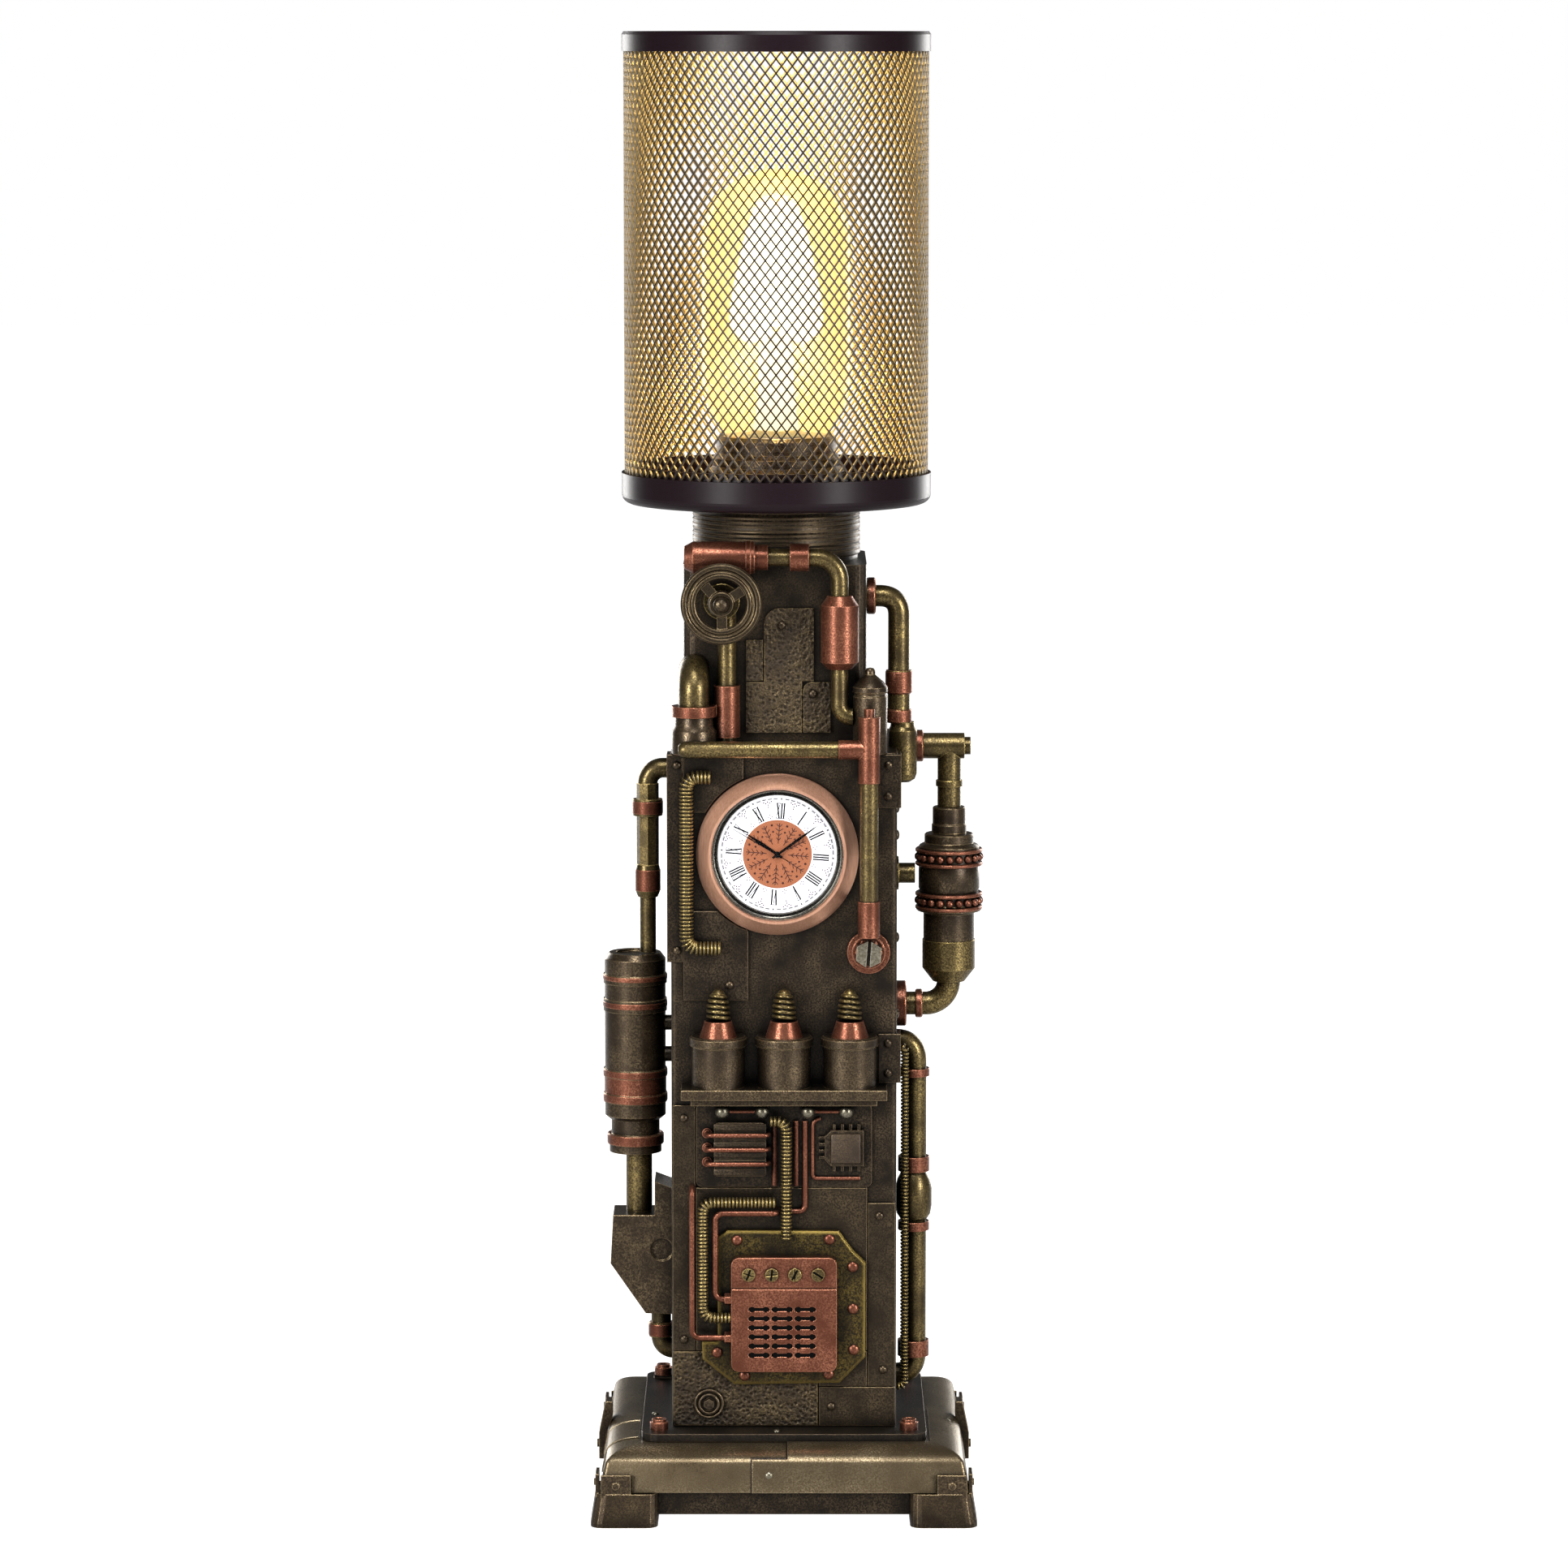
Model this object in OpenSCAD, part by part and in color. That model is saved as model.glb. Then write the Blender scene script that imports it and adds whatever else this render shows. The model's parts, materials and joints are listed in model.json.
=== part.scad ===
/* [Base] */
// Half width of the base casting at its widest
base_half = 47; // [44:0.5:50]
// Half width of the top plate
plate_half = 36.8; // [34:0.2:38]
// Height of the base casting
base_h = 19.6; // [18:0.2:22]
// Height of the recessed skirt's top edge
skirt_h = 8.7; // [8:0.1:10]
// Height of the skirt's lower edge above the floor
skirt_gap = 2.3; // [1.5:0.1:3]
// Wall of the base casting
base_wall = 4; // [3:0.5:6]
// Thickness of the dark top plate
plate_t = 2; // [1.5:0.1:3]
// How far each foot reaches past the casting
foot_out = 2.6; // [2:0.1:3.5]
// Width of a corner foot
foot_w = 17.3; // [14:0.1:19]
// Height of a corner foot
foot_h = 8.5; // [7.8:0.1:8.6]
// Radius of the socket bolts on the top plate
bolt_r = 2.35; // [2:0.05:3]
// Radius of the cord inlet's hole
inlet_r = 3.2; // [2.8:0.1:3.4]

/* [Tower] */
// Width of the tower
tower_w = 58; // [56:0.5:60]
// Depth of the tower
tower_d = 54; // [52:0.5:56]
// Width of the upper body
upper_w = 47; // [46:0.2:48]
// Depth of the upper body
upper_d = 44; // [43:0.2:45]
// Height of the upper body
upper_h = 47.8; // [47:0.1:49]
// Sideways offset of the upper body and the clock
upper_x = -2.3; // [-3:0.1:-1]
// Radius of the neck drum
neck_r = 21.7; // [20:0.1:22]
// Height of the neck drum
neck_h = 14.4; // [14:0.1:16]
// Radius of the wire way inside the tower
wire_r = 5; // [4:0.5:6]
// Thickness of a relief plate
relief_t = 1; // [0.6:0.1:1.2]
// Radius of a rivet head
rivet_r = 1.3; // [1:0.05:1.6]

/* [Clock] */
// Height between the canisters' coils and the bezel
clock_room = 13.75; // [12.5:0.05:15]
// Height of the tower's top edge above the bezel
tower_edge = 5.1; // [4.5:0.1:6]
// Outer radius of the bezel
bezel_r = 20.8; // [20:0.1:21]
// Radius of the bezel's opening
bezel_in = 17; // [16:0.1:18]
// Depth of the bezel
bezel_t = 4.2; // [3.5:0.1:5]
// Radius of the movement case
case_r = 18.3; // [17.8:0.1:19]
// Depth of the movement case behind the bezel
case_d = 22; // [16:0.5:26]
// Running clearance round the movement case
case_gap = 0.3; // [0.2:0.05:0.5]
// Radius of the copper centre disc
centre_r = 8.85; // [8:0.05:10]
// Turn of the insert, clockwise
clock_turn = 4.3; // [0:0.1:8]
// Length of the minute hand
minute_l = 12.6; // [10:0.1:14]
// Length of the hour hand
hour_l = 10.1; // [8:0.1:12]
// Length of the second hand
second_l = 12.3; // [10:0.1:14]
// Angle of the minute hand from twelve, clockwise
minute_a = 54; // [0:1:359]
// Angle of the hour hand from twelve, clockwise
hour_a = 303.7; // [0:0.1:359]
// Angle of the second hand from twelve, clockwise
second_a = 297.8; // [0:0.1:359]

/* [Shade and bulb] */
// Outer radius of the pan
pan_r = 40; // [38:0.2:42]
// Height of the pan
pan_h = 7.9; // [7:0.1:9]
// Wall of the pan
pan_wall = 1.6; // [1.2:0.1:2]
// Outer radius of the mesh
mesh_r = 39.4; // [37:0.1:39.5]
// Height of the mesh between pan and rim
mesh_h = 107.8; // [100:0.2:112]
// Thickness of the mesh
mesh_t = 0.6; // [0.5:0.1:0.8]
// Width of a mesh strand
strand_w = 1.4; // [1.2:0.1:1.7]
// Mesh columns round the shade
mesh_cols = 32; // [28:1:34]
// Mesh rows from pan to rim
mesh_rows = 12; // [10:1:13]
// Height of the top rim
rim_h = 5; // [4:0.1:6]
// Width of the plinth at its top
plinth_w = 31; // [28:0.5:32]
// Height of the plinth above the pan's floor
plinth_h = 15.6; // [14:0.1:17]
// Largest radius of the bulb
bulb_r = 19.3; // [17:0.1:20]
// Height of the glass above the plinth
glass_h = 68.5; // [60:0.5:75]
// Wall of the glass
glass_t = 0.8; // [0.6:0.1:1]
// Radius of the bulb's screw cap
cap_r = 6.8; // [6:0.1:7]

/* [Handwheel] */
// Outer radius of the wheel
wheel_r = 10.35; // [9.5:0.05:10.6]
// Radius of the wheel's opening
wheel_in = 6.3; // [5.8:0.1:6.8]
// Thickness of the wheel's rim
wheel_t = 1.8; // [1.4:0.1:2.2]
// Width of a wheel spoke
spoke_w = 2.6; // [2:0.1:3]
// Distance of the wheel's plane from the upper body's face
wheel_out = 12.4; // [12:0.1:14]
// Radius of the valve spindle
spindle_r = 1.2; // [1:0.05:1.4]

/* [Front] */
// Thickness of the shelf
shelf_t = 2.6; // [2:0.1:3]
// Depth of the shelf in front of the tower
shelf_d = 10; // [9:0.2:12]
// Radius of a canister
can_r = 6.8; // [6:0.1:7.2]
// Height of a canister below its lid
can_h = 10.5; // [9:0.1:12]
// Spacing of the canisters
can_pitch = 16.9; // [16:0.1:18]
// Height of a canister's lid
lid_h = 2.7; // [2:0.1:3.2]
// Height of a canister's copper cone
cone_h = 4.1; // [3.6:0.1:4.6]
// Height of a canister's coil
can_coil_h = 7.6; // [6.8:0.1:8.4]
// Width of the circuit panel
panel_w = 45.3; // [44:0.1:46]
// Height of the circuit panel
panel_h = 21.7; // [21:0.1:22]
// Radius of a terminal ball
ball_r = 1.9; // [1.5:0.05:2.2]
// Width of the coil block
coil_w = 13.2; // [12:0.1:14]
// Height of the coil block
coil_h = 14; // [12:0.1:15]
// Width of the chip
chip_w = 10; // [8:0.1:11]
// Height of the chip
chip_h = 9.3; // [8:0.1:10]
// Height of the grille box above the top plate
box_up = 15.6; // [14.5:0.1:17]
// Height between the gasket frame and the circuit panel, where the hoses cross
hose_room = 11.1; // [10:0.1:12.2]
// Width of the grille box
box_w = 27.2; // [26:0.1:28]
// Height of the grille box
box_h = 29.9; // [29:0.1:31]
// Depth of the grille box
box_d = 3.4; // [2.5:0.1:4]
// Radius of the grille box's slotted screws
screw_r = 1.7; // [1.4:0.05:2]
// Width of a grille slot
slot_w = 4.3; // [3.6:0.1:4.6]
// Height of a grille slot
slot_h = 1.2; // [0.9:0.05:1.5]

/* [Pipework] */
// Radius of the spring hose beside the clock
hose_r = 1.9; // [1.6:0.05:2]
// Pitch of the spring hoses' turns
hose_pitch = 0.95; // [0.9:0.05:1.4]
// Radius of the small spring hoses on the front
thin_hose_r = 1.5; // [1.2:0.05:1.7]
// Radius of the brass pipes beside the clock
pipe_r = 2.24; // [1.8:0.02:2.4]
// Radius of the copper tee
tee_r = 2.76; // [2.5:0.02:3]
// Radius of the horizontal copper cylinder
drum_r = 4.1; // [3.6:0.1:4.4]
// Length of the horizontal copper cylinder
drum_l = 17.9; // [15:0.1:19]
// Radius of the hanging copper cylinder
tank_r = 4.85; // [4.2:0.05:4.9]
// Length of the hanging copper cylinder
tank_l = 18.7; // [16:0.1:20]
// Radius of the large brass elbow
elbow_r = 3.95; // [3.5:0.05:4.2]
// Radius of the small front canister
upper_can_r = 4.4; // [4:0.1:4.6]
// Radius of the right riser
riser_r = 2.4; // [2:0.05:2.6]
// Radius of the right riser's copper rings
riser_ring_r = 4.1; // [3.6:0.1:4.4]
// Radius of the right riser's bulb
bulge_r = 4.9; // [4.4:0.1:5]

/* [Valve] */
// Distance of the valve's axis from the tower's side
valve_out = 14; // [13.7:0.1:15]
// Depth of the valve arm's axis below the tower's top edge
valve_down = 1.3; // [1:0.1:3.5]
// Radius of the valve body
valve_r = 7.95; // [7:0.05:8.2]
// Radius of the ring of beads
bead_ring_r = 8.8; // [8.4:0.1:9]
// Radius of a bead
bead_r = 1.05; // [0.8:0.05:1.1]
// Beads on one ring
beads = 18; // [12:1:20]

/* [Left side] */
// Distance of the large cylinder's axis from the tower's side
tank_out = 9.9; // [9.5:0.1:12]
// Radius of the large cylinder
side_tank_r = 7.95; // [7:0.05:8.2]
// Length of the large cylinder
side_tank_l = 43.9; // [40:0.1:48]
// Radius of the octagonal pipe
oct_r = 2.9; // [2.4:0.05:3.2]

/* [Hidden] */
$fn = 48;

// Gap between pieces that lie side by side on one body
fit = 0.05;
// Gap between a moving piece and its neighbours
gap = 0.3;

// Heights of the main seams, each resting on the one below
plate_top = base_h + plate_t;
box_z = plate_top + box_up;
box_top = box_z + box_h;
frame_rise = 6.5;
panel_z = box_top + frame_rise + hose_room;
panel_gap = 2.4;
shelf_z = panel_z + panel_h + panel_gap + shelf_t;
lid_z = shelf_z + can_h;
cone_top = lid_z + lid_h + cone_h;
coil_seat = 0.45;
clock_z = cone_top + coil_seat + can_coil_h + clock_room + bezel_r;
tower_top = clock_z + bezel_r + tower_edge;
upper_top = tower_top + upper_h;
neck_top = upper_top + neck_h;
pan_top = neck_top + pan_h;
mesh_foot = pan_top + 0.2;
mesh_top = mesh_foot + mesh_h;
floor_t = 1.7;
plinth_top = neck_top + floor_t + plinth_h;

// Planes and axes of the tower
side = tower_w / 2;
face = -tower_d / 2;
upper_face = -upper_d / 2;
neck_x = upper_x + 0.3;
clock_x = upper_x + 0.6;
plate_face = face - relief_t;

// Places of the front pieces
panel_t = 1.2;
panel_face = face - panel_t;
frame_t = 2;
frame_face = plate_face - frame_t;
box_face = frame_face - box_d;

// Places of the upper pipework
pipe_y = face - 7;
cross_z = tower_top + 1.7;
wheel_x = upper_x - 13.6;
wheel_z = upper_top - 8.8;
wheel_y = upper_face - wheel_out;
run_z = upper_top + 2.4;
run_y = upper_face - tank_r - 0.15;
tank_x = upper_x + 16.5;
elbow_x = upper_x - 20.7;
elbow_y = upper_face - 5.8;
riser_x = upper_x - 12.3;
riser_y = upper_face - 3.5;

// Axes of the side pipework
valve_x = side + valve_out;
valve_z = tower_top - valve_down;
valve_foot = valve_z - 67.8;
riser_top = valve_foot - 9.6;
ledge_z = plate_top + 51.4;
right_x = side + 5;
left_x = -side - 6.5;
tank_side_x = -side - tank_out;

// Corner points of a rectangle with rounded corners
function corner(x, y, r, a, n) = [for (i = [0:n]) [x + r * cos(a + 90 * i / n), y + r * sin(a + 90 * i / n)]];
function rrect(hx, hy, r, n = 4) = concat(
  corner(hx - r, hy - r, r, 0, n), corner(r - hx, hy - r, r, 90, n),
  corner(r - hx, r - hy, r, 180, n), corner(hx - r, r - hy, r, 270, n));

// Points of a coil's outline: one ridge for each turn, tapering from r0 to r1
function coil(r0, r1, l, n, d) = concat([[0, 0]],
  [for (i = [0:n - 1]) each [[r0 + (r1 - r0) * i / n - d, l * i / n],
    [r0 + (r1 - r0) * (i + 0.5) / n, l * (i + 0.5) / n]]],
  [[r1 - d, l], [0, l]]);

// Rounded slab standing on z
module slab(hx, hy, r, z, t) {
  translate([0, 0, z]) linear_extrude(t) polygon(rrect(hx, hy, r));
}

// Outline drawn in X and Z, reaching forward from the plane y by t
module front_plate(points, y, t) {
  translate([0, y, 0]) rotate([90, 0, 0]) linear_extrude(t) polygon(points);
}

// Round piece with its axis upright, from z0 to z1
module post(x, y, z0, z1, r) {
  translate([x, y, z0]) cylinder(r = r, h = z1 - z0);
}

// Round piece with its axis towards the front, from y0 forward by l
module stud(x, y0, z, l, r) {
  translate([x, y0, z]) rotate([90, 0, 0]) cylinder(r = r, h = l);
}

// Round piece with its axis along X, from x0 to x1
module bar(x0, x1, y, z, r) {
  translate([x0, y, z]) rotate([0, 90, 0]) cylinder(r = r, h = x1 - x0);
}

// Pipe bend that starts upright at the origin and turns towards +X
module bend(r, turn_r, a = 90) {
  translate([turn_r, 0, 0]) rotate([90, 0, 0]) rotate([0, 0, 180 - a])
    rotate_extrude(angle = a) translate([turn_r, 0]) circle(r = r);
}

// Ring round an upright axis
module band(x, y, z0, z1, r_out, r_in) {
  translate([x, y, z0]) difference() {
    cylinder(r = r_out, h = z1 - z0);
    translate([0, 0, -1]) cylinder(r = r_in, h = z1 - z0 + 2);
  }
}

// Domed rivet head whose axis points to the front
module rivet(x, y, z, r = rivet_r) {
  translate([x, y, z]) rotate([90, 0, 0])
    rotate_extrude() polygon([[0, 0], [r, 0], [r, 0.25], [r * 0.75, 0.6], [0, 0.8]]);
}

// Straight spring hose standing at the origin
module hose(r, l) {
  rotate_extrude() polygon(coil(r, r, l, floor(l / hose_pitch), 0.3));
}

// Height, inset and corner radius of the casting's outline, from its foot to its top
base_profile = [[skirt_h, 0, 5], [skirt_h + 4.4, 0.8, 5.5], [skirt_h + 7.5, 1.8, 6], [skirt_h + 9.3, 3.4, 7],
  [base_h - 0.5, 6, 7.5], [base_h - 0.1, base_half - plate_half - 0.6, 6]];
lap_t = 0.35;

// Upper form of the casting, grown sideways by a lapped plate's thickness
module casting_form(grow) {
  hull() for (p = base_profile) slab(base_half - p[1] + grow, base_half - p[1] + grow, p[2] + grow, p[0], 0.1);
}

module base_casting() {
  inlet_z = (skirt_h + base_h - base_wall) / 2;
  reach = base_half + 1;
  lap_z = skirt_h + 8.4;
  color("#4a3a2e") difference() {
    union() {
      slab(base_half - 3, base_half - 3, 3, skirt_gap, skirt_h - skirt_gap + 0.4);
      casting_form(0);
      intersection() {
        casting_form(lap_t);
        union() {
          // Plate lapped over the right half of the front, with a stepped edge
          front_plate([[0.7, lap_z - 1], [reach, lap_z - 1], [reach, base_h + 1], [0.7, base_h + 1]], 0, reach);
          front_plate([[-8.2, skirt_h - 1], [reach, skirt_h - 1], [reach, lap_z], [-7, lap_z],
            [-8.2, lap_z - 1.2]], 0, reach);
          // Patch on the left shoulder
          translate([-reach, -32, skirt_h - 1]) cube([12, 20, base_h]);
        }
      }
      translate([0, base_half + 0.8, inlet_z]) rotate([90, 0, 0]) cylinder(r = inlet_r + 2, h = 8);
    }
    slab(base_half - 7, base_half - 7, 4, skirt_gap - 1, base_h - base_wall - skirt_gap + 1);
    translate([0, 0, base_h - base_wall - 1]) cylinder(r = wire_r, h = base_wall + 2);
    translate([0, base_half + 2, inlet_z]) rotate([90, 0, 0]) cylinder(r = inlet_r, h = 16);
  }
}

module corner_foot() {
  edge = base_half + foot_out;
  mid = edge - foot_w / 2;
  difference() {
    hull() {
      translate([mid, mid, 0]) slab(foot_w / 2, foot_w / 2, 3, 0, 1);
      translate([mid - 0.6, mid - 0.6, 0]) slab(foot_w / 2 - 0.6, foot_w / 2 - 0.6, 3, foot_h - 1, 1);
    }
    slab(base_half - 3 + fit, base_half - 3 + fit, 3, skirt_gap - fit, foot_h);
  }
  for (k = [0, 1]) mirror(k * [1, -1, 0]) {
    translate([base_half - 7.7, base_half + lap_t + 0.1, foot_h - 1]) cube([7.6, 0.9, 6]);
    translate([base_half - 3.9, base_half + 1.3, foot_h + 2.2]) rotate([-90, 0, 0]) cylinder(r = 0.9, h = 0.5);
  }
}

module corner_feet() {
  color("#5a4636") for (i = [0, 1], j = [0, 1]) mirror([i, 0, 0]) mirror([0, j, 0]) corner_foot();
}

module base_clips() {
  b = base_half;
  outline = [[b + 0.45, 7], [b + 1.7, 7], [b + 1.7, 14], [b, 22.3], [b - 1.8, 22.3],
    [b - 1.9, base_h - 1.4], [b - 0.2, 13.6], [b + 0.45, skirt_h + 0.4]];
  color("#a8763e") for (k = [0, 1]) mirror([k, 0, 0]) {
    front_plate(outline, 3, 6);
    bar(b + 1.7, b + 2.3, 0, 10.6, 1.1);
  }
}

module base_top_plate() {
  color("#3a3230") difference() {
    union() {
      slab(plate_half, plate_half, 4, base_h, plate_t);
      translate([-plate_half + 2, side - 1, plate_top - 0.5]) cube([2 * plate_half - 4, plate_half - side, 1.4]);
    }
    translate([0, 0, base_h - 1]) cylinder(r = wire_r, h = plate_t + 2);
  }
}

module plate_bolts() {
  reach = plate_half - 4.5;
  color("#b4623c") for (x = [-reach, reach], y = [-reach + 1.3, reach - 3.3])
    translate([x, y, plate_top + (y > 0 ? 0.9 : 0)]) difference() {
      union() {
        cylinder(r = bolt_r, h = 2);
        cylinder(r = bolt_r - 0.5, h = 2.8);
      }
      translate([0, 0, 1.2]) cylinder(r = bolt_r / 2, h = 2, $fn = 6);
    }
}

module bottom_cover() {
  reach = base_half - 7.2;
  color("#3a3230") difference() {
    slab(reach, reach, 4, skirt_gap, 1.5);
    for (x = [-1, 1], y = [-1, 1]) translate([x * (reach - 6), y * (reach - 6), 0]) cylinder(r = 1.6, h = 6);
  }
}

module cord_grommet() {
  inlet_z = (skirt_h + base_h - base_wall) / 2;
  color("#202020") translate([0, base_half + 0.8, inlet_z]) rotate([90, 0, 0]) difference() {
    union() {
      translate([0, 0, -1.4]) cylinder(r = inlet_r + 1.4, h = 1.4);
      cylinder(r = inlet_r - fit, h = 7.7);
    }
    translate([0, 0, -2]) cylinder(r = inlet_r - 1.2, h = 11);
  }
}

module tower_shell() {
  color("#5b4630") difference() {
    union() {
      slab(side, tower_d / 2, 1.2, plate_top, tower_top - plate_top);
      translate([upper_x, 0, 0]) slab(upper_w / 2, upper_d / 2, 3, tower_top - 1, upper_h + 1);
    }
    translate([0, 0, plate_top - 1]) cylinder(r = wire_r, h = upper_top - plate_top + 2);
    stud(clock_x, face + case_d + 1, clock_z, case_d + 2, case_r + case_gap);
  }
}

module neck_drum() {
  color("#6b5334") translate([neck_x, 0, upper_top]) rotate_extrude($fn = 96) polygon([
    [wire_r + 3, 0], [neck_r - 0.6, 0], [neck_r - 0.6, 1.2], [neck_r, 1.8], [neck_r, neck_h - 4],
    [neck_r + 1, neck_h - 1.2], [neck_r + 1, neck_h], [wire_r + 3, neck_h]]);
}

// Flat plate on the tower's face
module tile(x0, x1, z0, z1) {
  front_plate([[x0, z0], [x1, z0], [x1, z1], [x0, z1]], face, relief_t);
}

module lower_plates() {
  z0 = plate_top + 0.2;
  frame_mid = z0 + 19.6;
  edge = side - 0.3;
  color("#8a7a52") {
    tile(-edge, 8.7, z0, frame_mid);
    tile(9.1, edge, z0, z0 + 10.2);
    tile(9.1, 21.4, z0 + 10.5, frame_mid);
    tile(21.7, edge, z0 + 10.5, z0 + 58.6);
    tile(-edge, -panel_w / 2 - 0.3, frame_mid + 0.3, shelf_z - 5.4);
    tile(-panel_w / 2, 21.4, frame_mid + 0.3, panel_z - 0.3);
  }
}

// Bracket folded round the tower's front corner, on the left with k = -1
module corner_bracket(k, w, z0, z1) {
  s = side;
  color("#8a7a52") mirror([k < 0 ? 1 : 0, 0, 0]) translate([0, 0, z0]) linear_extrude(z1 - z0)
      polygon([[s - w, plate_face], [s + relief_t, plate_face], [s + relief_t, face + 7], [s, face + 7], [s, face],
        [s - w, face]]);
}

plates_foot = cone_top + 4.6;
module clock_plates() {
  edge = side - 3.2;
  ring = bezel_r + 0.5;
  color("#6f5a3a") {
    difference() {
      union() {
        front_plate([[-edge, clock_z + 10.7], [clock_x - 8.7, clock_z + 10.7], [clock_x - 8.7, tower_top - 0.3],
          [-edge, tower_top - 0.3]], face, relief_t);
        front_plate([[-edge, plates_foot], [clock_x - 7.5, plates_foot], [clock_x - 7.5, clock_z - 14.8],
          [-edge, clock_z - 14.8]], face, relief_t);
      }
      stud(clock_x, face + 1, clock_z, relief_t + 2, ring);
    }
  }
  corner_bracket(-1, 3, clock_z - 28, tower_top - 0.3);
  corner_bracket(1, 4.6, tower_top - 14, tower_top - 0.3);
  corner_bracket(1, 4.6, shelf_z + 0.5, shelf_z + 13.2);
}

module upper_plates() {
  z0 = tower_top + 4.8;
  step = z0 + 13;
  left = upper_x - 7.4;
  mid = upper_x - 2.8;
  split = upper_x + 7.2;
  color("#8a7a52") {
    // Hammered plate with one rounded corner
    front_plate(concat([[left, z0], [split - gap, z0], [split - gap, step + gap], [upper_x + 9.9, step + gap],
      [upper_x + 9.9, z0 + 32]], corner(mid + 4, z0 + 28, 4, 90, 5), [[mid, step], [left, step]]),
      upper_face, relief_t);
    // Plain plate beside it
    front_plate([[left, step + gap], [mid - gap, step + gap], [mid - gap, step + 10.8], [left, step + 10.8]],
      upper_face, relief_t * 0.7);
    // Small plate at its lower right
    front_plate(concat([[split, z0], [split + 7, z0], [split + 7, step]], corner(split + 2, step - 2, 2, 90, 3)),
      upper_face, relief_t);
  }
}

module plate_rivets() {
  w = box_w / 2;
  on_frame = [[-w + 1.5, box_top + 4], [w - 1.9, box_top + 4.2], [w + 4.1, box_top - 3], [w + 4.2, box_top - 14],
    [w + 4.4, box_z + 5.1], [w - 2.1, box_z - 1.3], [-w + 3.4, box_z - 1.7], [-w - 3.6, box_z + 4.4]];
  on_plate = [[12.2, plate_top + 5.3], [24.6, plate_top + 55.5], [-25.8, panel_z + 18], [-25.8, plate_top + 23],
    [25.6, plate_top + 15], [-27.4, clock_z - 25], [-27.4, tower_top - 3], [26.7, tower_top - 3],
    [26.7, tower_top - 11], [26.7, shelf_z + 3], [26.7, shelf_z + 10.8], [-14, plates_foot + 4]];
  on_upper = [[upper_x + 1.7, tower_top + 32.4], [upper_x + 9.7, tower_top + 14.8]];
  on_side = [tower_top - 15.3, tower_top - 22.3, tower_top - 49, tower_top - 69];
  color("#b5713f") {
    for (p = on_frame) rivet(p[0], frame_face, p[1]);
    for (p = on_plate) rivet(p[0], plate_face, p[1], rivet_r * 0.85);
    for (p = on_upper) rivet(p[0], upper_face - relief_t, p[1], rivet_r * 0.85);
    for (z = on_side) translate([side, face + 9.5, z]) rotate([0, 0, 90]) rivet(0, 0, 0);
  }
}

module porthole_bolt() {
  z = plate_top + 6.2;
  color("#b5713f") difference() {
    union() {
      stud(-19.4, plate_face, z, 1, 3.95);
      stud(-19.4, plate_face, z, 1.5, 3.2);
      translate([-19.4, plate_face, z]) rotate([90, 0, 0]) cylinder(r = 1.9, h = 2.2, $fn = 6);
    }
    stud(-19.4, plate_face - 1.6, z, 1, 1);
  }
}

module canister_shelf() {
  edge = side - 2.6;
  color("#8a6a3c") {
    translate([-edge, face - shelf_d, shelf_z - shelf_t]) cube([2 * edge, shelf_d, shelf_t]);
    translate([2.5 - edge, face - shelf_d + 3, shelf_z - shelf_t - 1.9]) cube([2 * edge - 5, shelf_d - 3, 1.9]);
  }
}

can_y = face - 3.2;
cone_y = face - 4.9;

module canisters() {
  color("#5f5138") difference() {
    for (i = [-1:1]) translate([i * can_pitch, can_y, shelf_z]) rotate_extrude() polygon([
      [0, 0], [can_r, 0], [can_r, can_h], [can_r + 0.6, can_h + 0.3], [can_r + 0.6, can_h + lid_h - 0.5],
      [can_r + 0.1, can_h + lid_h], [0, can_h + lid_h]]);
    translate([-side, face, shelf_z - 1]) cube([tower_w, 12, can_h + lid_h + 4]);
  }
}

module canister_cones() {
  color("#b5713f") for (i = [-1:1]) translate([i * can_pitch, cone_y, lid_z + lid_h])
    cylinder(r1 = 4.8, r2 = 3.5, h = cone_h);
}

module canister_coils() {
  color("#c29a52") for (i = [-1:1])
    translate([i * can_pitch, cone_y, cone_top + coil_seat]) rotate([-8, 0, 0])
      rotate_extrude() polygon(coil(3.3, 2.5, can_coil_h, 6, 0.5));
}

module circuit_panel() {
  color("#3d2f22") translate([0, face, panel_z + panel_h / 2]) rotate([90, 0, 0])
    linear_extrude(panel_t) polygon(rrect(panel_w / 2, panel_h / 2, 1.5));
}

coil_z = panel_z + 3.4;
coil_x = -11.3;
coil_d = 3.4;
module coil_block() {
  color("#9a6f3e") front_plate([for (p = rrect(coil_w / 2, coil_h / 2, 1)) p + [coil_x, coil_z + coil_h / 2]],
    panel_face, coil_d);
}

chip_x = 15.5;
chip_z = panel_z + 10.5;
chip_d = 2.2;
module circuit_chip() {
  w = chip_w / 2;
  h = chip_h / 2;
  color("#26211d") front_plate([[chip_x - w + 1.6, chip_z - h], [chip_x + w, chip_z - h], [chip_x + w, chip_z + h],
    [chip_x - w + 1.6, chip_z + h], [chip_x - w, chip_z + h - 1.6], [chip_x - w, chip_z - h + 1.6]],
    panel_face, chip_d);
  color("#c9a25c") for (i = [0:3]) {
    x = chip_x - w + 2.4 + i * (chip_w - 3.6) / 3;
    for (z = [chip_z - h - 1.5, chip_z + h + fit]) translate([x - 0.35, panel_face - 1.2, z]) cube([0.7, 1.2, 1.45]);
    translate([chip_x - w - 1.5, panel_face - 1.2, chip_z - h + 2.1 + i * (chip_h - 4.2) / 3 - 0.35])
      cube([1.45, 1.2, 0.7]);
  }
}

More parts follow.
